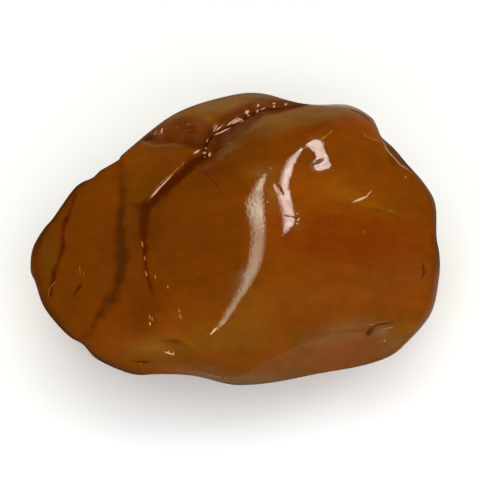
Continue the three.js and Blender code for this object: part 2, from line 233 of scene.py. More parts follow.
@dataclass(frozen=True)
class Facet:
    """A worn plane that cuts the stone.

    Args:
        u: u of a point on it.
        v: v of that point.
        height: its height there, out of the outline's plane.
        slope_u: its slope along u.
        slope_v: its slope along v.
        rounding: how far its edges are rounded.
        bend_u: u at which it bends back up.
        bend: the slope that the bend adds.
        bend_radius: how round that bend is.
    """

    u: float
    v: float
    height: float
    slope_u: float
    slope_v: float
    rounding: float
    bend_u: float = 0.0
    bend: float = 0.0
    bend_radius: float = 4.0

    def cut(self, height: Array, u: Array, v: Array) -> Array:
        """A height, cut down to the plane."""
        return soft_lower(height, self.level(u, v), self.rounding)

    def level(self, u: Array, v: Array) -> Array:
        """The plane's height at each place.

        Args:
            u: places along the length.
            v: places up the face.

        Returns:
            One height per place.
        """
        past = u - self.bend_u
        bent = 0.5 * self.bend * (past + np.sqrt(past * past + self.bend_radius ** 2))
        return self.height + self.slope_u * (u - self.u) + self.slope_v * (v - self.v) + bent


BROAD_FACE = Facet(3, 0, 15.6, 0.14, -0.08, 4)
LOWER_BAND = Facet(6, -14, 16.2, 0.14, 0.3, 6)
EDGE_FACETS = (
    # Left wing, left tip and right shoulder
    Facet(-19, 0, 12.3, 0.36, -0.08, 3), Facet(-29.5, 0, 8.6, 0.62, -0.05, 2),
    Facet(24, 0, 12.6, -0.5, -0.06, 6),
    # Lower right, top bevel and upper left
    Facet(14, -15.2, 10.9, -0.42, 0.85, 1.6, bend_u=17, bend=0.24), Facet(8, 19.2, 14.4, -0.02, -0.95, 2.6),
    Facet(-14, 16, 9.6, 0.25, -0.5, 3),
    # Upper wing and upper right
    Facet(-21, 10, 9.8, 0.5, -0.42, 3), Facet(28, 12, 8.4, -0.62, -0.5, 3),
)
BACK_FACETS = (
    # The belly, its left and its right
    Facet(0, 0, 19.5, 0.06, 0.18, 8), Facet(-14, 3, 17, 0.38, -0.12, 6), Facet(17, 0, 17, -0.42, 0.1, 6),
    # The slopes above and below it
    Facet(5, 12, 16.5, 0.08, -0.7, 5), Facet(-5, -12, 16, 0.03, 0.62, 6),
)


@dataclass(frozen=True)
class Wave:
    """A long, low wave of the back.

    Args:
        height: half its height.
        along_u: radians per millimetre along u.
        along_v: radians per millimetre along v.
        phase: radians.
    """

    height: float
    along_u: float
    along_v: float
    phase: float

    def rise(self, u: Array, v: Array) -> Array:
        """The wave's height at each place."""
        return self.height * np.sin(self.along_u * u + self.along_v * v + self.phase)


BACK_WAVES = (Wave(0.45, 0.23, 0.11, 0.6), Wave(0.35, -0.14, 0.31, 2.1), Wave(0.25, 0.37, -0.24, 4.0))


@dataclass(frozen=True)
class Lattice:
    """Smooth seeded noise over the face, between -1 and 1.

    Args:
        cell: size of its cells, millimetres.
        seed: seed of its values.
    """

    cell: float
    seed: int

    def value(self, u: Array, v: Array) -> Array:
        """Reads the noise.

        Args:
            u: places along the length.
            v: places up the face.

        Returns:
            One value per place.
        """
        reach = int(LATTICE_WIDTH / self.cell) + LATTICE_MARGIN
        table = np.random.default_rng(self.seed).uniform(-1.0, 1.0, (reach, reach))
        x, y = u / self.cell + reach / 2, v / self.cell + reach / 2
        i, j = np.floor(x).astype(int) % (reach - 1), np.floor(y).astype(int) % (reach - 1)
        s, t = ease(0.0, 1.0, x - np.floor(x)), ease(0.0, 1.0, y - np.floor(y))
        low = table[i, j] * (1 - s) + table[i + 1, j] * s
        high = table[i, j + 1] * (1 - s) + table[i + 1, j + 1] * s
        return low * (1 - t) + high * t


MOULDING_FRAYS = (Lattice(0.9, 11), Lattice(0.8, 12))
FLAKE_FRAY = Lattice(0.5, 21)
FLAKE_STRAY = 0.08
CHIP_FRAYS = (Lattice(0.45, 22), Lattice(0.4, 23))
CHIP_STRAY = 0.14
CHIP_ENDS = 1.6
DIMPLE_ENDS = 1.15
DIMPLE_FULL = 0.35


class Relief(Protocol):
    """Anything that raises or lowers the front of the stone."""

    def rise(self, u: Array, v: Array) -> Array:
        """Height added at each place."""


@dataclass(frozen=True)
class Bend:
    """A bend of the face: right of its line the face falls away by an added slope.

    Args:
        curve: its line, running down the face.
        slope: the added slope.
        radius: how round the bend is.
    """

    curve: Curve
    slope: float
    radius: float

    def rise(self, u: Array, v: Array) -> Array:
        """Height added at each place."""
        t = u - self.curve.crossing(v)
        return -0.5 * self.slope * (t + np.sqrt(t * t + self.radius ** 2))


@dataclass(frozen=True)
class Moulding:
    """A cross-section carried along a curve, changing from station to station.

    Args:
        curve: its line.
        offsets: the section's places across the line, positive to the left of its travel.
        stations: share of the length, and the section's height at each offset there.
        ragged: how far the line strays.
    """

    curve: Curve
    offsets: tuple[float, ...]
    stations: tuple[tuple[float, tuple[float, ...]], ...]
    ragged: float = 0.0

    def rise(self, u: Array, v: Array) -> Array:
        """Height added at each place.

        Args:
            u: places along the length.
            v: places up the face.

        Returns:
            One height per place.
        """
        stray_u, stray_v = (self.ragged * fray.value(u, v) for fray in MOULDING_FRAYS)
        near = self.curve.near(u + stray_u, v + stray_v)
        shares = [share for share, _ in self.stations]
        height = np.zeros(u.shape)
        for i, (_, section) in enumerate(self.stations):
            weight = np.interp(near.along, shares, [float(k == i) for k in range(len(shares))])
            height += weight * np.interp(near.signed, self.offsets, section)
        return height


@dataclass(frozen=True)
class Groove:
    """A fine groove that fades at its ends.

    Args:
        curve: its line.
        depth: its depth.
        half_width: half its width.
        fade: the share of its length over which each end fades.
    """

    curve: Curve
    depth: float
    half_width: float
    fade: float

    def rise(self, u: Array, v: Array) -> Array:
        """Height added at each place.

        Args:
            u: places along the length.
            v: places up the face.

        Returns:
            One height per place.
        """
        near = self.curve.near(u, v)
        ends = ease(0.0, self.fade, near.along) * ease(1.0, 1.0 - self.fade, near.along)
        return -self.depth * np.exp(-(near.distance / self.half_width) ** 2) * ends


@dataclass(frozen=True)
class Hollow:
    """A hollow with a closed edge.

    Args:
        curve: its edge.
        depth: its depth.
        start: signed distance inside the edge at which it starts to fall.
        end: the same where it is full depth.
        middle_v: v at which it has that depth.
        lean: how much shallower it gets for each millimetre up the face.
    """

    curve: Curve
    depth: float
    start: float
    end: float
    middle_v: float = 0.0
    lean: float = 0.0

    def rise(self, u: Array, v: Array) -> Array:
        """Height added at each place."""
        depth = np.maximum(self.depth - self.lean * (v - self.middle_v), 0.0)
        return -depth * ease(self.start, self.end, self.curve.inside(u, v))


@dataclass(frozen=True)
class Oval:
    """An oval spot of the face.

    Args:
        u: its middle along the length.
        v: its middle up the face.
        length: half its length.
        width: half its width.
        turn_deg: the way its length runs, degrees up from u.
    """

    u: float
    v: float
    length: float
    width: float
    turn_deg: float = 0.0

    def reach(self, u: Array, v: Array) -> Array:
        """How far out each place is: 0 in the middle, 1 at the edge.

        Args:
            u: places along the length.
            v: places up the face.

        Returns:
            One share per place.
        """
        turn = math.radians(self.turn_deg)
        du, dv = u - self.u, v - self.v
        x = (du * math.cos(turn) + dv * math.sin(turn)) / self.length
        y = (dv * math.cos(turn) - du * math.sin(turn)) / self.width
        return np.hypot(x, y)


class Flat(Protocol):
    """A flat face on the front, where a flake has come off."""

    lean_u: float
    lean_v: float

    def middle(self) -> Point:
        """The place where it keeps the height of the surface."""

    def share(self, u: Array, v: Array) -> Array:
        """How much of it there is at each place: 1 on the flat, 0 off it."""


def flatten(flat: Flat, height: Array, u: Array, v: Array) -> Array:
    """Lays a flat into the surface.

    Args:
        flat: the flat.
        height: the surface.
        u: places along the length.
        v: places up the face.

    Returns:
        The surface with the flat.
    """
    middle_u, middle_v = flat.middle()
    level = height[np.argmin((u - middle_u) ** 2 + (v - middle_v) ** 2)]
    plane = level + flat.lean_u * (u - middle_u) + flat.lean_v * (v - middle_v)
    return height + flat.share(u, v) * (plane - height)


@dataclass(frozen=True)
class Flake:
    """A flat with an edge of its own shape.

    Args:
        curve: its edge.
        lean_u: its slope along u.
        lean_v: its slope along v.
        blend: how wide its edge is rounded.
    """

    curve: Curve
    lean_u: float
    lean_v: float
    blend: float

    def middle(self) -> Point:
        """The middle of its edge."""
        return tuple(self.curve.line.mean(0))

    def share(self, u: Array, v: Array) -> Array:
        """How much of it there is at each place."""
        return ease(-self.blend, 0.0, self.curve.inside(u, v) + FLAKE_STRAY * FLAKE_FRAY.value(u, v))


@dataclass(frozen=True)
class Chip(Oval):
    """A small ragged flat.

    Args:
        lean_u: its slope along u.
        lean_v: its slope along v.
    """

    lean_u: float = 0.0
    lean_v: float = 0.0

    def middle(self) -> Point:
        """Its middle."""
        return self.u, self.v

    def share(self, u: Array, v: Array) -> Array:
        """How much of it there is at each place."""
        stray_u, stray_v = (CHIP_STRAY * fray.value(u, v) for fray in CHIP_FRAYS)
        return ease(CHIP_ENDS, 1.0, self.reach(u + stray_u, v + stray_v))


@dataclass(frozen=True)
class Dimple(Oval):
    """A small oval pit.

    Args:
        depth: its depth.
    """

    depth: float = 0.2

    def rise(self, u: Array, v: Array) -> Array:
        """Height added at each place."""
        return -self.depth * ease(DIMPLE_ENDS, DIMPLE_FULL, self.reach(u, v))


@dataclass(frozen=True)
class Ripples:
    """The slight unevenness that hand polishing leaves.

    Args:
        layers: for each layer, its noise and its height.
    """

    layers: tuple[tuple[Lattice, float], ...]

    def rise(self, u: Array, v: Array) -> Array:
        """Height added at each place."""
        return sum(height * lattice.value(u, v) for lattice, height in self.layers)


SHOULDER_LINE = Curve((
    (4.5, 24), (4.3, 15.5), (3.9, 13.6), (3, 11.4), (1.7, 9.1), (0.7, 6.9), (1.4, 4.6), (1.8, 2),
    (1.6, -1.9), (0.8, -4.6), (0.3, -6.8), (-1.2, -9.4), (-2.7, -11.8), (-5, -14.9), (-9, -19.5),
    (-12.5, -24),
))
CREST = Curve((
    (4.6, 24), (4.4, 15.5), (4.2, 11.4), (4.2, 6), (4.5, 3), (4.4, 0), (3.8, -3.2), (2.8, -5.6),
    (1.4, -8.1), (-0.4, -10.5), (-2.1, -13.2), (-4.5, -15.9), (-8, -19.5), (-12, -24),
))
STRIP_LEFT = Curve((
    (18.4, 24), (15.7, 19.6), (13.9, 18.3), (12.4, 17.7), (11.2, 16.9), (10.2, 16), (9.2, 15.1),
    (8.35, 14.4), (7.9, 13.7), (7.65, 13), (7.4, 12.3), (7.2, 11.6), (7, 10.6), (6.75, 9.6), (6.55, 8.6),
    (6.6, 7.5), (6.85, 6.8), (7.15, 6.1), (7.25, 5.2), (7.4, 4), (7.45, 2.7), (7.3, 1), (6, -5), (4, -14),
    (1, -24),
))
STRIP_RIGHT = Curve((
    (18.5, 24), (15.8, 19.6), (14, 18.3), (12.5, 17.7), (11.4, 16.9), (10.6, 15.8), (9.95, 14.6),
    (9.6, 13.8), (9.25, 13), (8.95, 12), (8.65, 11), (8.45, 10.2), (8.5, 9.3), (8.7, 8.2), (9, 7), (9.2, 6),
    (9.35, 5), (9.35, 4), (9.1, 3), (8.3, 2), (7.8, 0.9), (6.2, -5), (4.2, -14), (1, -24),
))
FACE_BENDS = (
    Bend(SHOULDER_LINE, 0.08, 1.6),
    Bend(CREST, 0.09, 0.6),
    Bend(STRIP_LEFT, 0.10, 0.4),
    Bend(STRIP_RIGHT, 0.09, 0.4),
)


def bent_face(u: Array, v: Array) -> Array:
    """The broad face and the band below it, bent along the lines that run down them.

    Args:
        u: places along the length.
        v: places up the face.

    Returns:
        One height per place.
    """
    above = v - BROW_V
    crown = 0.5 * FACE_CROWN * (v - CROWN_MIDDLE) ** 2
    brow = 0.5 * BROW_SLOPE * (above + np.sqrt(above ** 2 + BROW_RADIUS ** 2))
    face = LOWER_BAND.cut(BROAD_FACE.level(u, v) - crown - brow, u, v)
    return face + sum(bend.rise(u, v) for bend in FACE_BENDS)


FRACTURE = Curve((
    (12.5, 24.2), (10.6, 23.7), (8, 23.2), (6, 22.9), (3.7, 22.9), (2.3, 22.1), (1.1, 21.6), (-0.6, 20.7),
    (-2.3, 19.6), (-4.3, 18.6), (-5.6, 17.4), (-5.9, 16.3), (-6.3, 15.4),
))
LEDGE_BAND = Curve((
    (-5.6, 14.8), (-7.4, 13.9), (-8.7, 12.8), (-10.2, 11.4), (-11.7, 10.2), (-13.1, 8.8), (-14.8, 7),
    (-16.2, 5.8),
))
LEDGE = Curve((
    (-6.3, 15.4), (-8, 14.7), (-9.3, 13.6), (-10.8, 12.2), (-12.3, 11), (-13.7, 9.6), (-15.2, 7.7),
    (-16.2, 6.2),
))
NOTCH_EDGE = Curve((
    (23.9, 18.9), (24.5, 17.6), (25.2, 16), (26.4, 14.6), (27.5, 13.4), (28.8, 12.6), (30, 11.6),
))
SEAM = Curve(((-16, 6.4), (-16.3, 4), (-16.3, 0), (-15.8, -5), (-15, -8), (-14, -10.5)))
RECESS = Curve((
    (-16.8, 17.7), (-14, 16.9), (-11.2, 17), (-7.2, 16.2), (-5.6, 17.4), (-5, 20), (-7, 21.5), (-11, 21.4),
    (-14.5, 20.2),
), True)
LENS = Curve((
    (-19, -17.3), (-16, -16.2), (-12, -16.2), (-8.5, -18.6), (-13, -20.2), (-18.5, -19.4),
), True)
PIT = Curve(((21.6, -15.3), (22.4, -14.2), (25.6, -13.7), (26.2, -14.3), (24.4, -14.9)), True)

OLIVE_VEIN = Curve((
    (-20.2, 13.5), (-20.3, 10), (-20.1, 7), (-20.3, 4), (-20.1, 1), (-20.2, -2), (-20.3, -5), (-20.8, -7.5),
    (-22.3, -10), (-23.7, -12), (-25, -14), (-26.5, -16),
))
LEFT_VEIN = Curve((
    (-28.3, 8), (-28.8, 6), (-29.7, 4), (-30.2, 2), (-30.2, -0.5), (-30.9, -3), (-31.7, -5), (-32.3, -9),
))


@dataclass
class Outline:
    """The outline as a radius for each direction round the stone, sharp at the edge and softened away.

    Args:
        points: the outline's points.
    """

    points: Sequence[Point]
    angles: Array = field(init=False)
    sharp: Array = field(init=False)
    soft: Array = field(init=False)

    def __post_init__(self) -> None:
        """Tabulates both radii round the stone."""
        line = Curve(self.points, True).line[:-1]
        turn = np.arctan2(line[:, 1], line[:, 0]) % FULL_TURN
        order = np.argsort(turn)
        self.angles = np.arange(RING_STEPS) * FULL_TURN / RING_STEPS
        reach = np.hypot(line[:, 0], line[:, 1])
        self.sharp = np.interp(self.angles, turn[order], reach[order], period=FULL_TURN)
        spread = OUTLINE_SOFTENING_DEG * RING_STEPS / TURN_DEG
        steps = np.minimum(np.arange(RING_STEPS), RING_STEPS - np.arange(RING_STEPS))
        bell = np.exp(-0.5 * (steps / spread) ** 2)
        mixed = np.fft.ifft(np.fft.fft(self.sharp) * np.fft.fft(bell / bell.sum()))
        self.soft = np.real(mixed)

    def radius(self, angle: Array, softness: Array) -> Array:
        """Radius in a direction.

        Args:
            angle: directions round the stone, radians.
            softness: 0 for the sharp outline, 1 for the softened one.

        Returns:
            One radius per direction.
        """
        sharp = np.interp(angle % FULL_TURN, self.angles, self.sharp, period=FULL_TURN)
        soft = np.interp(angle % FULL_TURN, self.angles, self.soft, period=FULL_TURN)
        return sharp + softness * (soft - sharp)


@dataclass
class PebbleForm:
    """The stone's form, from directions to surface points.

    Args:
        outline: the outline of the broad face.
        reliefs: what raises or lowers the front.
        flats: the flats in the front.
        pits: the small pits in the front, flats included.
    """

    outline: Outline
    reliefs: Sequence[Relief]
    flats: Sequence[Flat]
    pits: Sequence[Relief]

    def height(self, side: Side, u: Array, v: Array, dome: Array) -> Array:
        """Height out of the outline's plane.

        Args:
            side: front or back.
            u: places along the length.
            v: places up the face.
            dome: the swelling at each place, from 0 at the outline to 1 in the middle.

        Returns:
            One height per place, positive outward.
        """
        front = side is Side.FRONT
        height = (FRONT_RISE if front else BACK_DEPTH) * dome
        if front:
            height = soft_lower(height, bent_face(u, v), BROAD_FACE.rounding)
        for facet in EDGE_FACETS if front else BACK_FACETS:
            height = facet.cut(height, u, v)
        height = np.maximum(height, 0.0)
        if front:
            added = sum(relief.rise(u, v) for relief in self.reliefs)
            height = height + added * ease(0.0, RELIEF_FULL_FROM, dome) - RIM_SLOPE * v
            for flat in self.flats:
                height = flatten(flat, height, u, v)
            return height + RIM_SLOPE * v + sum(pit.rise(u, v) for pit in self.pits)
        return height + sum(wave.rise(u, v) for wave in BACK_WAVES) * ease(0.0, WAVES_FULL_FROM, dome)

    def face_points(self, directions: Array) -> Array:
        """Surface points in the face frame.

        Args:
            directions: unit directions from the middle of the stone, one row each.

        Returns:
            One point per direction, millimetres.
        """
        points = np.empty_like(directions)
        share = np.minimum(np.hypot(directions[:, 0], directions[:, 1]), 1.0)
        angle = np.arctan2(directions[:, 1], directions[:, 0])
        for side in Side:
            front = side is Side.FRONT
            chosen = (directions[:, 2] >= 0) == front
            fullness = FRONT_FULLNESS if front else BACK_FULLNESS
            part, turn = share[chosen], angle[chosen]
            dome = np.maximum(1.0 - part ** fullness, 0.0) ** (1.0 / fullness)
            softness = ease(OUTLINE_KEPT_TO, FRONT_SOFT_FROM if front else BACK_SOFT_FROM, dome)
            radius = part * self.outline.radius(turn, softness)
            u, v = radius * np.cos(turn), radius * np.sin(turn)
            height = self.height(side, u, v, dome)
            out = height if front else -height
            points[chosen] = np.stack([u, v, out - RIM_SLOPE * v], 1)
        return points


def lean_back(points: Array) -> Array:
    """Turns face frame points into the part's axes: X along, Y back, Z up.

    Args:
        points: one point per row.

    Returns:
        The turned points.
    """
    tilt = math.radians(FACE_TILT_DEG)
    u, v, w = points.T
    return np.stack([u, v * math.sin(tilt) - w * math.cos(tilt), v * math.cos(tilt) + w * math.sin(tilt)], 1)


@dataclass
class Ball:
    """A unit sphere of four-sided cells, drawn in toward the fracture.

    Args:
        cells: cells along one edge of the cube it is blown up from.
    """

    cells: int
    directions: Array = field(init=False)
    faces: Array = field(init=False)

    def __post_init__(self) -> None:
        """Makes the directions and faces."""
        grid = np.tan(np.linspace(-math.pi / 4, math.pi / 4, self.cells + 1))
        a, b = np.meshgrid(grid, grid, indexing="ij")
        one = np.ones_like(a)
        sheets = [(one, a, b), (-one, b, a), (b, one, a), (a, -one, b), (a, b, one), (b, a, -one)]
        points = np.concatenate([np.stack(sheet, -1).reshape(-1, 3) for sheet in sheets])
        points /= np.linalg.norm(points, axis=1, keepdims=True)
        welded = np.round(points, WELD_DIGITS)
        _, first, index = np.unique(welded, axis=0, return_index=True, return_inverse=True)
        ids = index.reshape(len(sheets), self.cells + 1, self.cells + 1)
        corners = [ids[:, :-1, :-1], ids[:, 1:, :-1], ids[:, 1:, 1:], ids[:, :-1, 1:]]
        self.faces = np.stack(corners, -1).reshape(-1, 4)
        self.directions = self.gather(points[first])

    @staticmethod
    def gather(directions: Array) -> Array:
        """Draws directions in toward the fracture, so that the mesh is finest there.

        Args:
            directions: unit directions, one row each.

        Returns:
            The drawn directions.
        """
        spot = np.array(FINE_SPOT) / np.linalg.norm(FINE_SPOT)
        cos = np.clip(directions @ spot, -1.0, 1.0)
        across = directions - cos[:, None] * spot
        length = np.linalg.norm(across, axis=1, keepdims=True)
        across = np.where(length > TINY, across / np.maximum(length, TINY), 0.0)
        angle = np.arccos(cos)
        turned = angle - FINE_PULL * np.sin(angle)
        return np.cos(turned)[:, None] * spot + np.sin(turned)[:, None] * across


# Where along a plain line its width changes, and what is left of it at its end
LINE_SHARES = (0.0, 0.25, 0.75, 1.0)
LINE_END = 0.4


@dataclass(frozen=True)
class Streak:
    """A coloured line of the stone, for the material.

    Args:
        curve: its line.
        shares: the shares of its length that its half width goes by.
        half_widths: its half width at each.
        faintness: how faint it is at each.
    """

    curve: Curve
    shares: tuple[float, ...]
    half_widths: tuple[float, ...]
    faintness: tuple[float, ...] = ()

    def closeness(self, u: Array, v: Array) -> Array:
        """Distance from the line in half widths.

        Args:
            u: places along the length.
            v: places up the face.

        Returns:
            One distance per place.
        """
        near = self.curve.near(u, v)
        faint = self.faintness or [0.0] * len(self.shares)
        half_width = np.interp(near.along, self.shares, self.half_widths)
        return near.distance / half_width + np.interp(near.along, self.shares, faint)


def line_of(points: Sequence[Point], half_width: float) -> Streak:
    """A streak of one width that thins out at its ends."""
    half_widths = (half_width / 2, half_width, half_width, LINE_END * half_width)
    return Streak(Curve(points), LINE_SHARES, half_widths)


def dashes(rows: Sequence[Sequence[float]]) -> tuple[Oval, ...]:
    """Thin marks from one place to another.

    Args:
        rows: for each mark, u and v of one end, u and v of the other, and half its width.

    Returns:
        The marks.
    """
    marks = []
    for start_u, start_v, end_u, end_v, width in rows:
        du, dv = end_u - start_u, end_v - start_v
        turn = math.degrees(math.atan2(dv, du))
        marks.append(Oval((start_u + end_u) / 2, (start_v + end_v) / 2, math.hypot(du, dv) / 2, width, turn))
    return tuple(marks)


CRESCENT = Curve(((24.9, 17.4), (26.0, 16.2), (27.0, 15.1), (28.2, 13.8), (29.0, 12.9)))
OLIVE_STREAKS = (
    Streak(OLIVE_VEIN, (0, 0.1, 0.17, 0.22, 0.3, 0.42, 0.5, 0.6, 0.68, 0.78, 0.9, 1),
           (0.9, 0.8, 0.7, 0.7, 0.6, 1, 1.1, 0.85, 0.9, 0.95, 0.9, 0.8),
           (1.2, 0.9, 0.7, 0.3, 0.1, 0.1, 0, 0.3, 0.1, 0.4, 0.8, 1.1)),
    Streak(CRESCENT, (0, 0.5, 1), (0.45, 0.85, 0.45)),
    Streak(Curve(((-12.8, -16.7), (-10.4, -16.7), (-8.6, -17.9))), (0, 0.5, 1),
           (0.35, 0.45, 0.3), (1.2, 0.9, 1.3)),
    Streak(Curve(((22.2, 6), (24.4, 5.2), (26.4, 4.7))), (0, 0.5, 1), (0.35, 0.4, 0.3), (1.2, 0.75, 1.3)),
    Streak(Curve(((-18, 17), (-15.8, 17.9), (-14.6, 18.2))), (0, 0.5, 1), (0.35, 0.35, 0.3), (0.9, 0.8, 1)),
)
RED_STREAKS = (
    Streak(LEFT_VEIN, (0, 0.3, 0.6, 0.8, 1), (0.5, 0.5, 0.65, 0.6, 0.5), (0.5, 0.45, 0.3, 0.4, 0.6)),
    Streak(Curve(((-32.4, -8.4), (-31.9, -11), (-30.6, -13.2))), (0, 0.5, 1),
           (0.5, 0.6, 0.5), (0.9, 0.9, 1.2)),
    Streak(SEAM, (0, 0.2, 0.5, 0.8, 1), (0.95, 0.8, 0.45, 0.45, 0.4), (0, 0, 0.2, 0.5, 1)),
    Streak(LEDGE_BAND, (0, 0.3, 0.7, 1), (0.6, 0.85, 0.8, 0.7)),
    # Along the fracture: a dark red line, partly the stone's colour and partly painted shade in the crack.
    Streak(FRACTURE, (0, 0.1, 0.4, 0.8, 1), (0.1, 0.2, 0.25, 0.3, 0.35)),
    Streak(Curve(((-6, 12.2), (-4.6, 10.6), (-3, 8.6))), (0, 0.5, 1), (0.35, 0.35, 0.3), (0.6, 0.6, 1)),
)
# Painted highlights: thin bright lines along the recess's lip and along the notch's edge.
PAINTED_HIGHLIGHT_STREAKS = (
    line_of(((-16.8, 17.7), (-14, 16.9), (-11.2, 17), (-9.2, 16.7), (-7.2, 16.2)), 0.03),
    line_of(((24.5, 17.6), (25.2, 16), (26.4, 14.6), (27.5, 13.4), (28.8, 12.6)), 0.1),
)
# The first is painted shade along the low ridge by the bottom edge; the other two are dark lines near the top
# edge.
DARK_STREAKS = (
    line_of(((-9.2, -20.5), (-6.5, -21.3), (-3.5, -22.4)), 0.14),
    line_of(((7, 23.75), (9, 23.9), (11, 23.8)), 0.2),
    line_of(((18.8, 23), (20.8, 22.2), (22.2, 21)), 0.16),
)
# Painted reflection: a pale band along the bottom edge.
PAINTED_SHINE_STREAKS = (
    Streak(Curve(((-8, -21.8), (-4, -22.6), (0, -23.4))), (0, 0.5, 1), (0.5, 0.6, 0.5), (1.25, 1.12, 1.25)),
)
# Red-brown marks. Those round u 22 to 25, v -13.7 to -15.6 are painted shade in the pit at lower right, and
# the oval at u -14.9, v 18.1 is painted shade in a hollow at the recess's left end.
RED_MARKS = (
    Oval(24.2, -13.75, 1.3, 0.22, 10), Oval(-8.3, 19.9, 0.6, 0.16, 20), Oval(-14.9, 18.1, 0.8, 0.4, 15),
    *dashes((
        (-17.9, -20, -15.5, -20.2, 0.1), (-28, -8.5, -26.9, -6.7, 0.36), (31.2, -3.7, 31.3, -5.2, 0.18),
        (30.8, -6.2, 31.5, -4.9, 0.16), (18.4, -10.9, 19.4, -10.5, 0.08), (21.6, -15.6, 22.3, -14.5, 0.34),
        (22.2, -14.6, 23.3, -14, 0.2), (-8.9, 18.9, -7.4, 19.2, 0.12),
    )),
)
# Painted highlights and glints: thin bright lines along edges and ridges, and glints on the red vein, at the
# lower left and round the pit at lower right.
PAINTED_HIGHLIGHT_MARKS = (
    Oval(-1.7, 17, 0.12, 0.07), Oval(-16.8, -20.4, 0.15, 0.07), Oval(-8.8, 20.4, 0.2, 0.05),
    Oval(-10.8, 19.8, 0.1, 0.04, 30), Oval(24.6, -16.6, 0.2, 0.1, 30),
    *dashes((
        (-3, 15.2, -0.6, 17.4, 0.01), (-14.5, 19.3, -13.8, 18.6, 0.04), (21, 19, 21.8, 18.2, 0.03),
        (21.8, 18.2, 24.3, 17.3, 0.035), (-31.5, -6.6, -32.4, -7.6, 0.03), (-32.4, -7.6, -32.7, -9.2, 0.03),
        (10.1, 15.7, 11.3, 16.4, 0.09), (13.7, 17.6, 14.8, 18.3, 0.08), (14.9, 18.4, 15.9, 19.4, 0.05),
        (-16.7, 0.3, -16.5, -0.6, 0.12), (-16.2, -2.2, -16.1, -2.9, 0.1), (-16, -4.8, -15.8, -5.6, 0.12),
        (-14.4, -5.5, -14.3, -6, 0.09), (-12.3, -7.2, -12.2, -7.7, 0.1),
        (-15.3, -12.2, -15.25, -12.9, 0.09), (-15.3, -13.3, -15.2, -14, 0.1),
        (-14.9, -12.6, -14.8, -13.2, 0.08), (-10.35, -11.2, -10.25, -11.7, 0.08),
        (-10.2, -12, -10, -12.8, 0.09), (-27.3, -4, -27.2, -5.2, 0.04), (-26.7, -4.8, -26.6, -5.6, 0.035),
        (28.2, 11.3, 28.5, 11.2, 0.12), (5.2, 12.8, 5.4, 12.6, 0.1), (20.9, 2.1, 21, 1.7, 0.05),
        (25.2, 5.7, 26.6, 5.1, 0.03), (24.4, -14.55, 26, -14.3, 0.05), (23.4, -13.45, 25, -13.3, 0.03),
        (21.8, -13.9, 22.9, -13.75, 0.03),
    )),
)
# Painted glints: the end of the long highlight, glints at the lower left and one at the red vein's lower end.
GLINT_MARKS = (
    Oval(-4.5, -14.9, 0.6, 0.18, 50),
    *dashes((
        (-12.8, -18.4, -11.8, -18.65, 0.07), (-12.3, -18.6, -11.4, -18.8, 0.1),
        (-11.25, -18.4, -11.2, -18.95, 0.06), (-12.1, -18.2, -12, -18.7, 0.06),
        (-15.25, -13.5, -15.2, -13.9, 0.06),
    )),
)
# Dark hairlines, nicks and pit edges; the two on the last line are painted shade in the pit at lower right.
DARK_MARKS = (
    *dashes((
        (-4.6, -22.3, -2, -23, 0.12), (9.7, -13, 10.4, -13.1, 0.16), (7.4, 4.75, 8.6, 4.5, 0.15),
        (8.4, 4.55, 9.8, 4.25, 0.16), (9.9, 4.3, 11, 4.2, 0.05), (12.3, 13.75, 14.3, 14.5, 0.15),
        (12.3, 13.25, 14.1, 13.95, 0.14), (6.5, 10.1, 7.3, 8.3, 0.12), (6.9, 9.8, 7.5, 8.1, 0.14),
        (21.75, -15.1, 22.4, -14.3, 0.26), (22.2, -14.6, 23.2, -14.1, 0.15),
    )),
)
# Painted glints and highlights: on the fracture's chips, beside the middle highlight, along the ledge and
# along the scratch at right.
PAINTED_SHINE_MARKS = (
    Oval(9.7, 5, 0.14, 0.1, 40), Oval(9.9, 4, 0.3, 0.12, 50), Oval(9.7, 3.3, 0.16, 0.1, 20),
    Oval(1.2, 22.5, 0.36, 0.24, 30), Oval(3.1, 23.6, 0.3, 0.15, 60), Oval(3, 22.6, 0.3, 0.14, 50),
    Oval(7.85, 23.8, 0.22, 0.16),
    *dashes((
        (4.6, 7.1, 4.8, 6.9, 0.1), (5.75, 10.1, 6.4, 8.5, 0.24), (19.3, 7, 21.6, 7.9, 0.2),
        (21.4, 7.8, 22.4, 8.9, 0.08), (-15.1, 7.8, -13.4, 9.8, 0.16), (-13.9, 9.2, -11.6, 11.6, 0.13),
        (-4.5, 18.5, -2.9, 19.1, 0.11), (-3.1, 19, -1.6, 19.8, 0.1), (-2.2, 20.1, -1.4, 20.9, 0.1),
        (-1.6, 20.7, -0.4, 21.5, 0.09), (-0.6, 21.5, 0.6, 21, 0.08), (-0.2, 20.8, 0.7, 21, 0.08),
        (-4.6, 19.1, -3.8, 20.3, 0.07), (-13.5, 18.8, -13.35, 19.7, 0.1), (1.2, 21.7, 1.7, 22, 0.1),
        (3.5, 22.9, 4.4, 23.2, 0.12), (5.5, 23.9, 6.1, 24, 0.1), (5.9, 23.6, 5.9, 23.3, 0.1),
    )),
)
DULL_MARKS = (
    Oval(13.4, 13.85, 1, 0.36, 25), Oval(12, 13.65, 0.8, 0.5, -65), Oval(7, 9.1, 1.1, 0.26, -66),
    Oval(0.9, -0.6, 4, 0.72, 88), Oval(24.2, -13.75, 1.4, 0.3, 10), Oval(11.6, 17.6, 1.8, 0.34, 40),
    Oval(13.9, 18.3, 1.5, 0.32, 3), Oval(-2.6, 22.4, 2, 1, 10), Oval(-1.4, 23.7, 1.1, 0.7, 10),
    Oval(-17.5, -20.4, 1, 0.6),
)


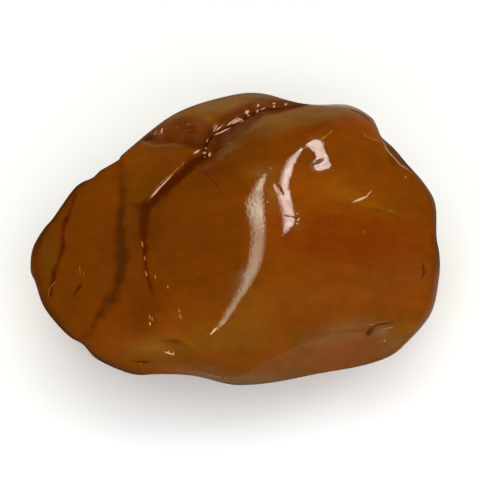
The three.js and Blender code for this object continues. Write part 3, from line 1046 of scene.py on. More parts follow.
class Layer(Enum):
    """Colour layers that the mesh carries as attributes, painted light and shade among them."""

    OLIVE = "olive"
    RED = "red"
    PAINTED_HIGHLIGHT = "light"
    DARK = "dark"
    PAINTED_SHINE = "pale"
    GLINT = "glint"
    CLEFT_AND_SHADE = "cleft_and_shade"
    PAINTED_RIM_SHADE = "rim"
    WARMTH = "warmth"
    PAINTED_LIGHT_AND_TONE = "painted_light_and_tone"
    PAINTED_SHEEN = "painted_sheen"
    DULL = "dull"
    ACROSS = "across"
    UP = "up"


# Distances from streaks and marks are in half widths, and this is as far as they are told.
FAR = 6.0
DIVIDED_AWAY = 1.0e6
# On the back the places are spread out, so that the marks of the front don't come through.
BACK_SPREAD = 10.0
# The front's colours fade as the surface turns away, over this far behind the outline's plane.
TURN_REACH = 9.0
TURN_FAINTNESS = 6.0
# Where the painted shade and sheen of the rim and of the wider edge start and are in full, as a share of the
# way out from the middle.
RIM_SHARES = (0.974, 0.992)
EDGE_SHARES = (0.935, 0.985)
MEAN_WARMTH = 0.45


@dataclass(frozen=True)
class RoundEdge:
    """A value that changes round the stone's edge.

    Args:
        points: for each direction, its angle in degrees and the value there.
    """

    points: tuple[Point, ...]

    def at(self, angle: Array) -> Array:
        """The value in each direction."""
        return np.interp(angle, *zip(*self.points), period=TURN_DEG)


# Painted light and shade round the edge, by direction: how much the rim is painted darker (lighter where
# below 0), how much the wider edge is painted darker (lighter where below 0), and how much painted sheen the
# rim gets.
PAINTED_RIM_SHADE = RoundEdge((
    (0, 1.1), (12, 0.7), (24, 0.8), (36, 0.6), (46, 0.3), (52, -0.3), (68, -0.5), (74, 0.8), (120, 0.8),
    (132, 0.2), (144, 1.2), (156, 1.2), (180, 0.9), (192, 0.6), (204, 1), (216, 1.1), (252, 1.4),
    (288, 1.2), (310, 0.9), (324, 0.5), (348, 0.4),
))
EDGE_SHADE = RoundEdge((
    (0, 0.22), (12, 0), (36, -0.18), (46, -0.04), (60, -0.2), (100, -0.08), (130, 0), (144, 0.28),
    (160, 0.16), (190, 0), (204, 0.1), (216, 0.28), (240, 0.22), (252, 0.32), (276, 0.2), (300, 0.02),
    (324, -0.07),
))
EDGE_PAINTED_SHEEN = RoundEdge((
    (0, 0.2), (24, 0.22), (48, 0.35), (60, 0.9), (100, 0.6), (130, 0.5), (160, 0.05), (200, 0.05),
    (225, 0.4), (250, 1.1), (290, 0.7), (320, 0.28), (345, 0.25),
))

# How the open fracture, the band below the ledge and the dull spots beside them reach out. The fracture's
# colour, laid over the crack, the recess and the band below the ledge, is partly painted shade.
CLEFT_ABOVE = ((0, 0.5), (0.15, 1.4), (0.3, 2.6), (0.7, 2.9), (0.8, 2.4), (1, 1.5))
CLEFT_BELOW = ((0, 0.4), (0.3, 1), (0.5, 2), (0.6, 3), (0.75, 3.4), (0.9, 3.8), (1, 3))
CLEFT_EDGE = (1.0, 0.55)
RECESS_EDGE = (-0.6, 0.8)
LEDGE_REACH = ((0, 2), (1, 0.8))
LEDGE_DULL_EDGE = (1.0, 0.6)
LEDGE_CLEFT_EDGE = (1.0, 0.3)
LEDGE_CLEFT_WIDTH = 0.65
LEDGE_CLEFT = 0.85
DULL_SPOTS = (Oval(-4.8, 21.1, 2, 1.2, 40), Oval(-8.9, 15.5, 1.6, 0.9, -20))
DULL_EDGE = (1.3, 0.7)
CORNER_DULL = 0.9
CORNER_SHARES = (0.92, 0.96)
CORNER_U = (-6.0, -14.0)
CORNER_V = (-4.0, -10.0)
# How much a chip clears the fracture's colour and dullness, and what is added to the distance of its painted
# glint
CHIP_CLEAN = 0.5
CHIP_SHINE_FROM = 0.4


@dataclass(frozen=True)
class Cloud(Oval):
    """A soft patch of colour; its length and width are its reach.

    Args:
        amount: how much it adds.
    """

    amount: float = 0.0

    def add(self, u: Array, v: Array) -> Array:
        """What the patch adds at each place."""
        return self.amount * np.exp(-self.reach(u, v) ** 2)


def clouded(clouds: Sequence[Cloud], u: Array, v: Array) -> Array:
    """What clouds add together at each place."""
    return sum(cloud.add(u, v) for cloud in clouds)


@dataclass(frozen=True)
class Stain:
    """How streaks and marks of one kind, veins and lines of the stone or painted highlights, glints and
    shade, lie over the jade; the colour is linear.

    Args:
        layer: the mesh's layer that holds the streaks.
        colour: its colour.
        streaks: the streaks.
        marks: the marks, which the material draws.
        ragged: how far its edge strays, in half widths.
        strength: how much it covers.
        starts: the distance at which it starts to cover, in half widths.
        full: the distance at which it covers in full.
        soft: whether its edge strays slowly, as a vein's does.
    """

    layer: Layer
    colour: Colour
    streaks: tuple[Streak, ...]
    marks: tuple[Oval, ...]
    ragged: float
    strength: float
    starts: float
    full: float
    soft: bool = False

    def closeness(self, u: Array, v: Array, seen: Array) -> Array:
        """Distance from the nearest streak in half widths.

        Args:
            u: places along the length.
            v: places up the face.
            seen: how far the front's colours reach there, from 0 to 1.

        Returns:
            One distance per place, far off where no colour reaches.
        """
        nearest = np.full(u.shape, FAR)
        for streak in self.streaks:
            near = streak.closeness(u, v) + TURN_FAINTNESS * (1.0 - seen)
            nearest = np.where(seen > 0.0, np.minimum(nearest, near), nearest)
        return nearest


# In the order in which they are laid: olive and red veins, with some painted shade among the red; painted
# highlights; dark lines, with some painted shade; painted glints and a painted reflection; painted glints.
STAINS = (
    Stain(Layer.OLIVE, (0.035, 0.009, 0.0009), OLIVE_STREAKS, (), 1.3, 0.76, 2.3, 0.1, soft=True),
    Stain(Layer.RED, (0.053, 0.0068, 0.0006), RED_STREAKS, RED_MARKS, 1.0, 0.9, 1.7, 0.3, soft=True),
    Stain(Layer.PAINTED_HIGHLIGHT, (0.42, 0.17, 0.04), PAINTED_HIGHLIGHT_STREAKS, PAINTED_HIGHLIGHT_MARKS, 0.9, 0.7, 1.6, 0.6),
    Stain(Layer.DARK, (0.055, 0.018, 0.001), DARK_STREAKS, DARK_MARKS, 0.8, 0.75, 1.4, 0.5),
    Stain(Layer.PAINTED_SHINE, (0.56, 0.31, 0.2), PAINTED_SHINE_STREAKS, PAINTED_SHINE_MARKS, 0.6, 0.85, 1.3, 0.7),
    Stain(Layer.GLINT, (0.8, 0.5, 0.2), (), GLINT_MARKS, 1.2, 0.62, 1.5, 0.6),
)


# How the jade's colour turns from olive to orange in patches; those over the top bevel and the top lobe turn
# it olive to carry part of a painted sheen.
WARM_CLOUDS = tuple(Cloud(*row) for row in (
    (21.6, -17.7, 1, 0.8, 0, 0.7), (-34.6, -1.5, 1, 3, 0, 0.6), (-14.4, -17.7, 3.4, 1.2, 0, -0.25),
    (-3.6, 21.9, 2.4, 0.9, 20, 0.4), (5.6, 8.5, 1.2, 3.5, 0, -0.5), (10.2, 3.6, 1.2, 3, 0, -0.5),
    (-5, -21, 6, 1.5, -5, -0.2), (-19.5, 11.5, 3, 3, 0, 0.4), (-4, -20.5, 7, 2.5, 0, 0.25),
    (-5, 11.5, 2, 2, 0, 0.25), (-8, 3, 9, 4, 0, 0.2), (1, -10, 2, 4, 0, -0.35), (-2, -16, 4, 2, 0, -0.35),
    (24, 17.5, 3, 3, 0, -0.4), (2, 12.5, 3, 2, 0, -0.3), (4, -22.5, 9, 1.8, 0, -0.4),
    (27, -16.5, 5, 3, 30, -0.4), (17, 8.5, 5, 2, -10, 0.15), (9, 21.5, 13, 3.2, 6, -0.75),
    (-5, 23.5, 9, 2.6, 8, -0.75), (-2, 17.5, 3.6, 2.4, 40, -0.6), (17, 1, 13, 4.5, -8, 0.85),
    (26, 1.5, 7, 3, 0, 0.4), (20.5, 7, 7.5, 1.6, -18, -0.38), (27, -8, 6, 5, 0, 0.35),
    (10.5, -13, 4, 3, 0, 0.35), (20, 19.5, 5, 3, 0, 0.5), (-16, -6, 2.5, 6, 0, 0.3),
    (-18, 11, 2.5, 4, 0, -0.35), (13, 19.6, 5, 0.9, 18, 0.8), (4, 17, 10, 4, 25, 0.12),
    (17, 9, 6, 2.5, -10, -0.28), (-17.5, 4, 3, 9, 0, -0.2), (-33.2, -1.5, 1.8, 4, 0, -0.5),
    (-19, -13.5, 3, 3, 0, 0.3), (-13, -18, 7, 2.6, 0, -0.5), (-26, -3, 5, 9, 0, 0.2),
    (14, -14, 18, 6, 8, -0.3), (-8, -10, 9, 7, 0, 0.1),
))
# Each cloud lightens or darkens the jade: partly its own lighter and darker patches, partly painted light and
# shade, such as the soft top of the long highlight, the glow between the highlights, the sheen of the top
# bevel and shade in the pit at lower right.
PAINTED_LIGHT_AND_TONE_CLOUDS = tuple(Cloud(*row) for row in (
    (-14.4, -17.6, 3.2, 1.2, 0, 0.06), (-2.6, 21.9, 1.6, 0.6, 20, -0.08), (0, 19, 1.2, 0.8, 0, 0.08),
    (-13.2, 19.4, 1.6, 0.9, 30, -0.1), (-7, 14.4, 1.6, 0.8, 50, 0.1), (-9.5, 17.1, 3, 0.7, 0, 0.07),
    (-4.2, 21.8, 1.8, 0.8, 20, -0.16), (-0.6, 22.6, 1.6, 0.6, 20, -0.12), (-4, 23.2, 3, 0.9, 12, -0.04),
    (2, 18, 2.6, 1.6, 40, -0.12), (-2, 21.2, 2.2, 1.2, 25, -0.14), (22, 9, 2.2, 1.4, 0, -0.08),
    (10, 16, 1.4, 0.8, 30, -0.15), (10.5, 4, 1.6, 2, 0, 0.05), (18, 17.5, 2.2, 1.8, 0, 0.08),
    (-14, -11.5, 3, 1.8, 0, -0.05), (22, -15, 0.8, 0.5, 50, -0.3), (2.8, 11.6, 1.6, 0.8, 30, 0.12),
    (10.5, 24, 3.5, 0.5, 0, 0.2), (-17.6, 6.2, 1.3, 0.5, -25, -0.3), (-20, 11, 2, 2, 0, -0.15),
    (-26, 8, 2, 2, 0, 0.07), (2.5, 12.5, 2, 1.5, 0, 0.15), (-6.2, 12, 1.4, 1.4, 0, -0.15),
    (-10.3, 12.3, 1, 1.2, 0, 0.15), (-10.6, 15.2, 1.5, 1.4, 0, 0.15), (14, 11.8, 2, 1, 0, 0.1),
    (5.9, 6.2, 0.8, 1.2, 0, -0.2), (14.5, -15.2, 2.5, 1.2, 15, -0.12), (-19, -13.5, 2.5, 3, 0, 0.1),
    (-8, -13, 5, 2, 0, -0.06), (-11.6, -16.8, 1.5, 0.7, -10, -0.35), (-16.6, -20, 1.4, 0.4, 4, -0.3),
    (-14, -17.6, 3.5, 1.3, 0, 0.08), (21, 19.5, 3, 2.5, 0, 0.08), (26, 3, 1.6, 1.6, 0, 0.08),
    (7, 20.7, 4, 1.5, 10, 0.08), (-18.2, -0.5, 1.3, 4.5, 0, -0.12), (-14, 3, 2, 2.5, 0, -0.08),
    (-5.8, 15, 1.4, 1.2, 40, 0.2), (22, 6.3, 2, 0.8, -15, 0.15), (-13.5, 19, 2.5, 1.8, 30, 0.35),
    (-6.2, 20.6, 2.4, 1.4, 30, 0.3), (-6, 15, 1.6, 1.4, 40, 0.45), (-2, 18, 2.4, 1.2, 50, 0.2),
    (-2.5, 12.4, 3, 1.6, 20, -0.2), (-17, -13, 2.5, 4, 10, -0.2), (-14, -11, 1.6, 1.6, 0, -0.15),
    (-10, -18.5, 3, 1.2, -20, -0.2), (-5, -20.8, 5, 1.2, -8, -0.12), (10.5, -14, 4.5, 2, 15, -0.17),
    (14, -11.5, 5, 2, 10, -0.1), (22, -12.5, 4, 2.2, 0, -0.1), (27, -16.6, 3, 2, 30, 0.2),
    (-22, 0, 2, 3, 0, -0.12), (-6, -6, 6, 4, 0, -0.08), (12, 1, 5, 4, 0, -0.08), (5.8, 9, 1, 3, 0, 0.1),
    (9.9, 4.5, 1.2, 3, 0, 0.1), (14, 18.4, 3, 1.2, 20, 0.1), (22.5, 19.5, 2.5, 2.5, 0, 0.15),
    (25, 15.5, 2.5, 2.5, 0, 0.12), (19, 15, 4, 3, 0, 0.08), (25, 5, 3, 1.6, 0, 0.12),
    (30, -9, 3, 5, 0, 0.08), (31.5, -14, 3, 3, 0, 0.15), (4, -9, 2, 2, 0, 0.1), (16.5, 17, 6, 3, 30, 0.1),
    (4, -22.5, 9, 1.8, 0, -0.12), (27, -16.5, 5, 3, 30, -0.12), (-17, -12, 4, 4, 0, -0.15),
    (13, 19.6, 5, 0.9, 18, -0.15), (30, -1, 5, 9, 0, 0.12), (5.4, 7, 1.2, 5, 0, 0.2),
    (5, -4, 3, 5, 20, 0.12), (-3, 23.5, 9, 2, 5, 0.2), (18, 4, 16, 14, 0, 0.12), (-8, -13, 7, 4, 0, 0.15),
    (-10, 19, 4.5, 2.2, 0, 0.1), (-20, 11.5, 6, 3, 45, 0.3), (-15, 14.5, 4, 3, 0, 0.1),
    (11, 21.5, 8, 2.6, 0, 0.15), (9, 21.5, 13, 3.2, 6, 0.16), (-5, 23.5, 9, 2.6, 8, 0.1),
    (8, 6, 8, 10, 0, 0.2), (24, 10, 8, 8, 0, 0.08), (17, 8.5, 7, 3, -10, 0.3), (-14, -17.5, 6, 2, 0, 0.27),
    (-4, -14, 14, 5, 8, 0.2), (16, -10, 16, 6, 10, 0.15), (-16, 3, 4, 7, 0, -0.2),
    (-2.5, 17.5, 3.5, 3, 30, -0.1), (17, 1, 12, 4, -8, -0.08),
))
# Painted sheen and reflections: pale grey over the top lobe and bevel, along the bottom edge, in the pit at
# lower right and round the long highlight.
PAINTED_SHEEN_CLOUDS = tuple(Cloud(*row) for row in (
    (19.6, 22.6, 3.2, 0.8, -18, 0.5), (12.5, 23.2, 3, 0.6, 0, 0.25), (-5, -21.6, 3.5, 0.9, -12, 0.4),
    (-11.5, 22, 2.6, 0.7, 30, 0.4), (5.5, 19, 2.6, 0.8, 10, 0.25), (0, 19, 1.2, 0.8, 0, 0.3),
    (-14, 18.8, 2.4, 1, 35, 0.5), (2, 18, 2.4, 1.4, 40, -0.3), (24.2, -14.95, 1.4, 0.45, 14, 1.7),
    (22, -15.2, 0.8, 0.5, 50, -0.8), (21, -14.6, 6, 1, 6, 0.25), (-4, 23.2, 3, 0.9, 12, 0.4),
    (16.5, -16.2, 4, 1.2, 15, 0.15), (0.1, -6.4, 1, 2.2, -35, 0.9), (18.6, -14.2, 4.4, 0.7, 9, 0.6),
    (31, -14.6, 1.2, 0.6, 45, 0.3), (3.2, 11.4, 0.8, 0.6, 70, 0.9), (2.6, 12.1, 1.6, 0.35, 5, 0.4),
    (-14.5, -18, 3.5, 1.3, 0, 0.2), (-2, 18, 1.8, 1.8, 40, 0.25), (2.5, 18.3, 2.8, 1.4, 30, 0.35),
    (7, 21, 5, 1.8, 10, 0.35), (-3.5, 23.7, 6, 1.3, 8, 0.75), (4, 25, 5, 1.1, -8, 0.6),
    (-13.5, 20.6, 4, 1, 38, 0.45), (-6.5, 21, 2, 1, 20, 0.4), (14, 22, 5, 1.2, -5, 0.25),
    (2.5, 20.8, 2, 1.2, 30, 0.45), (28, -5, 8, 4.5, 0, 0.12), (20, -8, 8, 3, 5, 0.06),
    (15.5, -15.2, 5.5, 1, 24, 0.35), (5.4, 8.6, 1, 3, 0, 0.25), (9.9, 3.6, 0.8, 2, 0, 0.2),
    (6, 12.6, 3, 1.2, 0, 0.2), (2, -23.3, 8, 0.9, 0, 0.6), (-8, -21.6, 5, 0.8, -8, 0.4),
))


def new_material(name: str) -> tuple[bpy.types.Material, bpy.types.Node]:
    """Makes a plain material.

    Args:
        name: its name.

    Returns:
        The material and its shader.
    """
    material = bpy.data.materials.new(name)
    material.use_nodes = True
    return material, material.node_tree.nodes["Principled BSDF"]


def add_object(name: str, data: bpy.types.ID) -> bpy.types.Object:
    """Adds an object to the scene.

    Args:
        name: its name.
        data: its mesh, light or camera.

    Returns:
        The object.
    """
    added = bpy.data.objects.new(name, data)
    bpy.context.scene.collection.objects.link(added)
    return added


@dataclass
class Pebble:
    """The stone: its mesh, its colour layers and its place.

    Args:
        form: its form.
        ball: the sphere that the form is drawn over.
        box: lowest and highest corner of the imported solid, metres.
    """

    form: PebbleForm
    ball: Ball
    box: tuple[Vector, Vector]
    scale: float = field(init=False)
    shift: Array = field(init=False)

    def build(self) -> bpy.types.Object:
        """Builds the stone's object.

        Returns:
            The object, with its colour layers on its mesh.
        """
        face = self.form.face_points(self.ball.directions)
        placed = self.place(face)
        mesh = bpy.data.meshes.new("jade_pebble")
        mesh.from_pydata(placed.tolist(), [], self.ball.faces.tolist())
        mesh.update()
        mesh.shade_smooth()
        self.paint(mesh, face)
        return add_object("jade_pebble", mesh)

    def place(self, face: Array) -> Array:
        """Leans the stone back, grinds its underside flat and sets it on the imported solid's box.

        Args:
            face: surface points in the face frame, millimetres.

        Returns:
            The points in the part's frame, metres.
        """
        points = lean_back(face)
        base = points[:, 2].min() + BASE_CUT
        points[:, 2] = np.maximum(points[:, 2] - base, 0.0)
        low, high = points.min(0), points.max(0)
        box_low, box_high = (np.array(corner) for corner in self.box)
        self.scale = (box_high[0] - box_low[0]) / (high[0] - low[0])
        middle = np.array([*(low[:2] + high[:2]) / 2, 0.0])
        home = np.array([*(box_low[:2] + box_high[:2]) / 2, box_low[2]])
        self.shift = home - (middle + np.array([0.0, 0.0, base])) * self.scale
        return (points - middle) * self.scale + home

    def spot(self, u: float, v: float, w: float = 0.0) -> Vector:
        """Where a face frame point lies in the part's frame, metres."""
        return Vector(lean_back(np.array([[u, v, w]]))[0] * self.scale + self.shift)

    def wear(self, u: Array, v: Array, share: Array) -> tuple[Array, Array]:
        """Works out where the stone is open and where its polish is worn off.

        Args:
            u: places along the length.
            v: places up the face.
            share: how far out from the middle each place is, from 0 to 1.

        Returns:
            How far each place takes the open fracture's colour, which is partly painted shade, and how dull
            it is.
        """
        fracture = FRACTURE.near(u, v)
        above, below = (through_points(fracture.along, points) for points in (CLEFT_ABOVE, CLEFT_BELOW))
        cleft_and_shade = ease(*CLEFT_EDGE, fracture.distance / np.where(fracture.signed < 0, above, below))
        cleft_and_shade = np.maximum(cleft_and_shade, ease(*RECESS_EDGE, RECESS.inside(u, v)))
        ledge = LEDGE_BAND.near(u, v)
        reach = through_points(ledge.along, LEDGE_REACH)
        dull = np.maximum(cleft_and_shade, ease(*LEDGE_DULL_EDGE, ledge.distance / reach))
        for spot in DULL_SPOTS:
            dull = np.maximum(dull, ease(*DULL_EDGE, spot.reach(u, v)))
        corner = CORNER_DULL * ease(*CORNER_SHARES, share) * ease(*CORNER_U, u) * ease(*CORNER_V, v)
        dull = np.maximum(dull, corner)
        under = ease(*LEDGE_CLEFT_EDGE, ledge.distance / (LEDGE_CLEFT_WIDTH * reach))
        cleft_and_shade = np.maximum(cleft_and_shade, LEDGE_CLEFT * under)
        for chip in CHIPS:
            kept = 1.0 - CHIP_CLEAN * chip.share(u, v)
            cleft_and_shade, dull = cleft_and_shade * kept, dull * kept
        return cleft_and_shade, dull

    def paint(self, mesh: bpy.types.Mesh, face: Array) -> None:
        """Writes the colour layers, painted light and shade among them.

        Args:
            mesh: the stone's mesh.
            face: its points in the face frame.
        """
        u, v = face[:, 0], face[:, 1]
        behind = -(face[:, 2] + RIM_SLOPE * v)
        front = behind < 0.0
        seen = ease(TURN_REACH, 0.0, behind)
        values = {stain.layer: stain.closeness(u, v, seen) for stain in STAINS}
        # Each chip of the front gets a painted glint over its flat.
        for chip in CHIPS:
            near = np.where(front, chip.reach(u, v) + CHIP_SHINE_FROM, FAR)
            values[Layer.PAINTED_SHINE] = np.minimum(values[Layer.PAINTED_SHINE], near)
        share = np.minimum(np.hypot(self.ball.directions[:, 0], self.ball.directions[:, 1]), 1.0)
        cleft_and_shade, dull = self.wear(u, v, share)
        # The rim's and the wider edge's painted shade and sheen change with direction round the stone.
        angle = np.degrees(np.arctan2(v, u))
        rim, edge = ease(*RIM_SHARES, share), ease(*EDGE_SHARES, share)
        painted_sheen = clouded(PAINTED_SHEEN_CLOUDS, u, v) + rim * EDGE_PAINTED_SHEEN.at(angle)
        values |= {
            Layer.CLEFT_AND_SHADE: cleft_and_shade * seen,
            Layer.DULL: dull * seen,
            Layer.PAINTED_RIM_SHADE: rim * PAINTED_RIM_SHADE.at(angle) * seen,
            Layer.WARMTH: MEAN_WARMTH + clouded(WARM_CLOUDS, u, v) * seen,
            Layer.PAINTED_LIGHT_AND_TONE: (clouded(PAINTED_LIGHT_AND_TONE_CLOUDS, u, v) - edge * EDGE_SHADE.at(angle)) * seen,
            Layer.PAINTED_SHEEN: np.maximum(painted_sheen, 0.0) * seen,
        }
        values = {layer: np.clip(value, -FAR, FAR) for layer, value in values.items()}
        spread = np.where(front, 1.0, BACK_SPREAD)
        values |= {Layer.ACROSS: u * spread, Layer.UP: v * spread}
        for layer, value in values.items():
            attribute = mesh.attributes.new(layer.value, "FLOAT", "POINT")
            attribute.data.foreach_set("value", value.astype(np.float32))


@dataclass(frozen=True)
class JadeFinish:
    """Colours and polish of the stone; colours are linear."""

    olive: Colour = (0.107, 0.035, 0.0012)
    amber: Colour = (0.120, 0.027, 0.0007)
    orange: Colour = (0.130, 0.022, 0.0005)
    # The fracture's colours, which also paint shade into the crack and the recess.
    cleft_and_shade: Colour = (0.088, 0.021, 0.0020)
    cleft_red: Colour = (0.066, 0.0115, 0.0009)
    # The colour of the painted sheen.
    painted_sheen: Colour = (0.17, 0.14, 0.075)
    subsurface: float = 0.12
    subsurface_radius: Colour = (1.0, 0.35, 0.08)
    subsurface_scale: float = 0.002
    roughness: float = 0.28
    ior: float = 1.45
    specular: float = 0.0
    coat: float = 0.3
    coat_roughness: float = 0.045
    coat_ior: float = 1.45


@dataclass(frozen=True)
class Grain:
    """Noise in the stone.

    Args:
        size: size of its features, metres.
        detail: how many finer sizes it holds.
        distortion: how far it is twisted.
        contrast: how much it lightens and darkens the jade.
    """

    size: float
    detail: float
    distortion: float = 0.0
    contrast: float = 0.0


DRIFT = Grain(0.011, 4.0, 0.6, 0.4)
SPECK = Grain(0.0022, 4.0, 0.3, 0.4)
MOTTLE = Grain(0.0009, 3.0, 0.2, 0.24)
FINE = Grain(0.0005, 2.0)
STREAKS = Grain(0.0014, 3.0, 0.5, 0.3)
WAVE = Grain(0.0022, 2.0)
GRIT = Grain(0.0005, 3.0)
STREAK_SQUEEZE = (0.18, 1.0, 1.0)
# Heights of the bump, metres
WAVE_HEIGHT = 0.000012
FINE_HEIGHT = 0.00001
GRIT_HEIGHT = 0.0001
# How much the drift sways the warmth, and where the warmth turns from colour to colour
DRIFT_WARMTH = 0.9
AMBER_WARMTH = 0.5
ORANGE_WARMTH = 1.1
REDDER_CLEFT = (0.42, 0.7)
# How much painted shade darkens the rim, and how much the painted sheen follows the streaks.
RIM_SHADE_STRENGTH = 0.45
PAINTED_SHEEN_STREAKS = 0.4
SPECK_STRAY = 2.0
# What is left out of the polish
DULL_LOSS = 0.97
RIM_LOSS = 0.92
CUT_LOSS = 0.95
WORN_LOSS = 0.85
WORN_EDGE = (1.3, 0.8)


# The mix node's sockets for colours
MIX_A, MIX_B, MIX_RESULT = 6, 7, 2


@dataclass
class Sketch:
    """Shorthand for drawing a node tree.

    Args:
        tree: the tree to draw in.
    """

    tree: bpy.types.NodeTree

    def plug(self, value: object, socket: Socket) -> None:
        """Links a socket, or sets a plain value, on an input.

        Args:
            value: the socket or value.
            socket: the input.
        """
        if isinstance(value, Socket):
            self.tree.links.new(value, socket)
        else:
            socket.default_value = value

    def draw(self, kind: str, inputs: dict, output: int | str = 0, **settings: str) -> Socket:
        """Adds a node.

        Args:
            kind: its type.
            inputs: a socket or a plain value for each input, by name or number.
            output: the output to use.
            settings: its properties.

        Returns:
            That output.
        """
        node = self.tree.nodes.new(kind)
        for name, value in settings.items():
            setattr(node, name, value)
        for name, value in inputs.items():
            self.plug(value, node.inputs[name])
        return node.outputs[output]

    def attribute(self, layer: Layer) -> Socket:
        """A colour layer of the mesh."""
        return self.draw("ShaderNodeAttribute", {}, "Fac", attribute_name=layer.value)

    def part(self, vector: Socket, axis: str) -> Socket:
        """One part of a vector."""
        return self.draw("ShaderNodeSeparateXYZ", {0: vector}, axis)

    def math(self, operation: str, a: object, b: object = 0.0, c: object = 0.0) -> Socket:
        """One calculation with one, two or three values."""
        return self.draw("ShaderNodeMath", {0: a, 1: b, 2: c}, operation=operation)

    def scaled(self, value: object, gain: float, offset: float) -> Socket:
        """A value times a gain, and an offset."""
        return self.math("MULTIPLY_ADD", value, gain, offset)

    def less(self, value: object, loss: float) -> Socket:
        """1 where a value is 0, less by the loss where it is 1."""
        return self.scaled(value, -loss, 1.0)

    def product(self, first: object, *others: object) -> Socket:
        """Multiplies values.

        Args:
            first: the first value.
            others: the others.

        Returns:
            The product.
        """
        for other in others:
            first = self.math("MULTIPLY", first, other)
        return first

    def step(self, value: object, start: float, end: float) -> Socket:
        """Eased step of a value from 0 at start to 1 at end."""
        inputs = {"Value": value, "From Min": start, "From Max": end}
        return self.draw("ShaderNodeMapRange", inputs, "Result", interpolation_type="SMOOTHSTEP")

    def through(self, value: object, points: Sequence[Point]) -> Socket:
        """Leads a value through points, eased from each to the next.

        Args:
            value: the value.
            points: each a value and what it becomes.

        Returns:
            What it becomes.
        """
        level = points[0][1]
        for (low, before), (high, after) in zip(points, points[1:]):
            level = self.math("MULTIPLY_ADD", self.step(value, low, high), after - before, level)
        return level

    def noise(self, place: Socket, grain: Grain) -> Socket:
        """Noise of a grain, between 0 and 1."""
        inputs = {"Scale": 1.0 / grain.size, "Detail": grain.detail, "Distortion": grain.distortion}
        return self.draw("ShaderNodeTexNoise", {"Vector": place, **inputs}, "Fac")

    def squeezed(self, place: Socket, squeeze: Colour) -> Socket:
        """Coordinates squeezed along an axis, so that what is drawn by them stretches."""
        return self.draw("ShaderNodeVectorMath", {0: place, 1: squeeze}, operation="MULTIPLY")

    def closeness(self, marks: Sequence[Oval], nearest: object = FAR) -> Socket:
        """Distance from the nearest mark, 1 at its edge.

        Args:
            marks: the marks.
            nearest: the distance from whatever else counts.

        Returns:
            The distance.
        """
        across, up = self.attribute(Layer.ACROSS), self.attribute(Layer.UP)
        for mark in marks:
            # The last distance comes along and is divided to nothing: so the marks are worked out one by
            # one, as all of them at once are too many for the renderer.
            inputs = {
                "Vector": self.draw("ShaderNodeCombineXYZ", {"X": across, "Y": up, "Z": nearest}),
                "Location": (mark.u, mark.v, 0.0),
                "Rotation": (0.0, 0.0, math.radians(mark.turn_deg)),
                "Scale": (mark.length, mark.width, DIVIDED_AWAY),
            }
            face = self.draw("ShaderNodeMapping", inputs, vector_type="TEXTURE")
            length = self.draw("ShaderNodeVectorMath", {0: face}, "Value", operation="LENGTH")
            nearest = self.math("MINIMUM", nearest, length)
        return nearest

    def mix(self, factor: object, a: object, b: object) -> Socket:
        """Blends two colours, of which the plain ones get their alpha here.

        Args:
            factor: the share of the second.
            a: the first.
            b: the second.

        Returns:
            The blend.
        """
        first, second = ((*c, 1.0) if isinstance(c, tuple) else c for c in (a, b))
        inputs = {0: factor, MIX_A: first, MIX_B: second}
        return self.draw("ShaderNodeMix", inputs, MIX_RESULT, data_type="RGBA")

    def tint(self, colour: Socket, gain: Socket) -> Socket:
        """A colour times a value."""
        return self.draw("ShaderNodeVectorMath", {0: colour, "Scale": gain}, operation="SCALE")


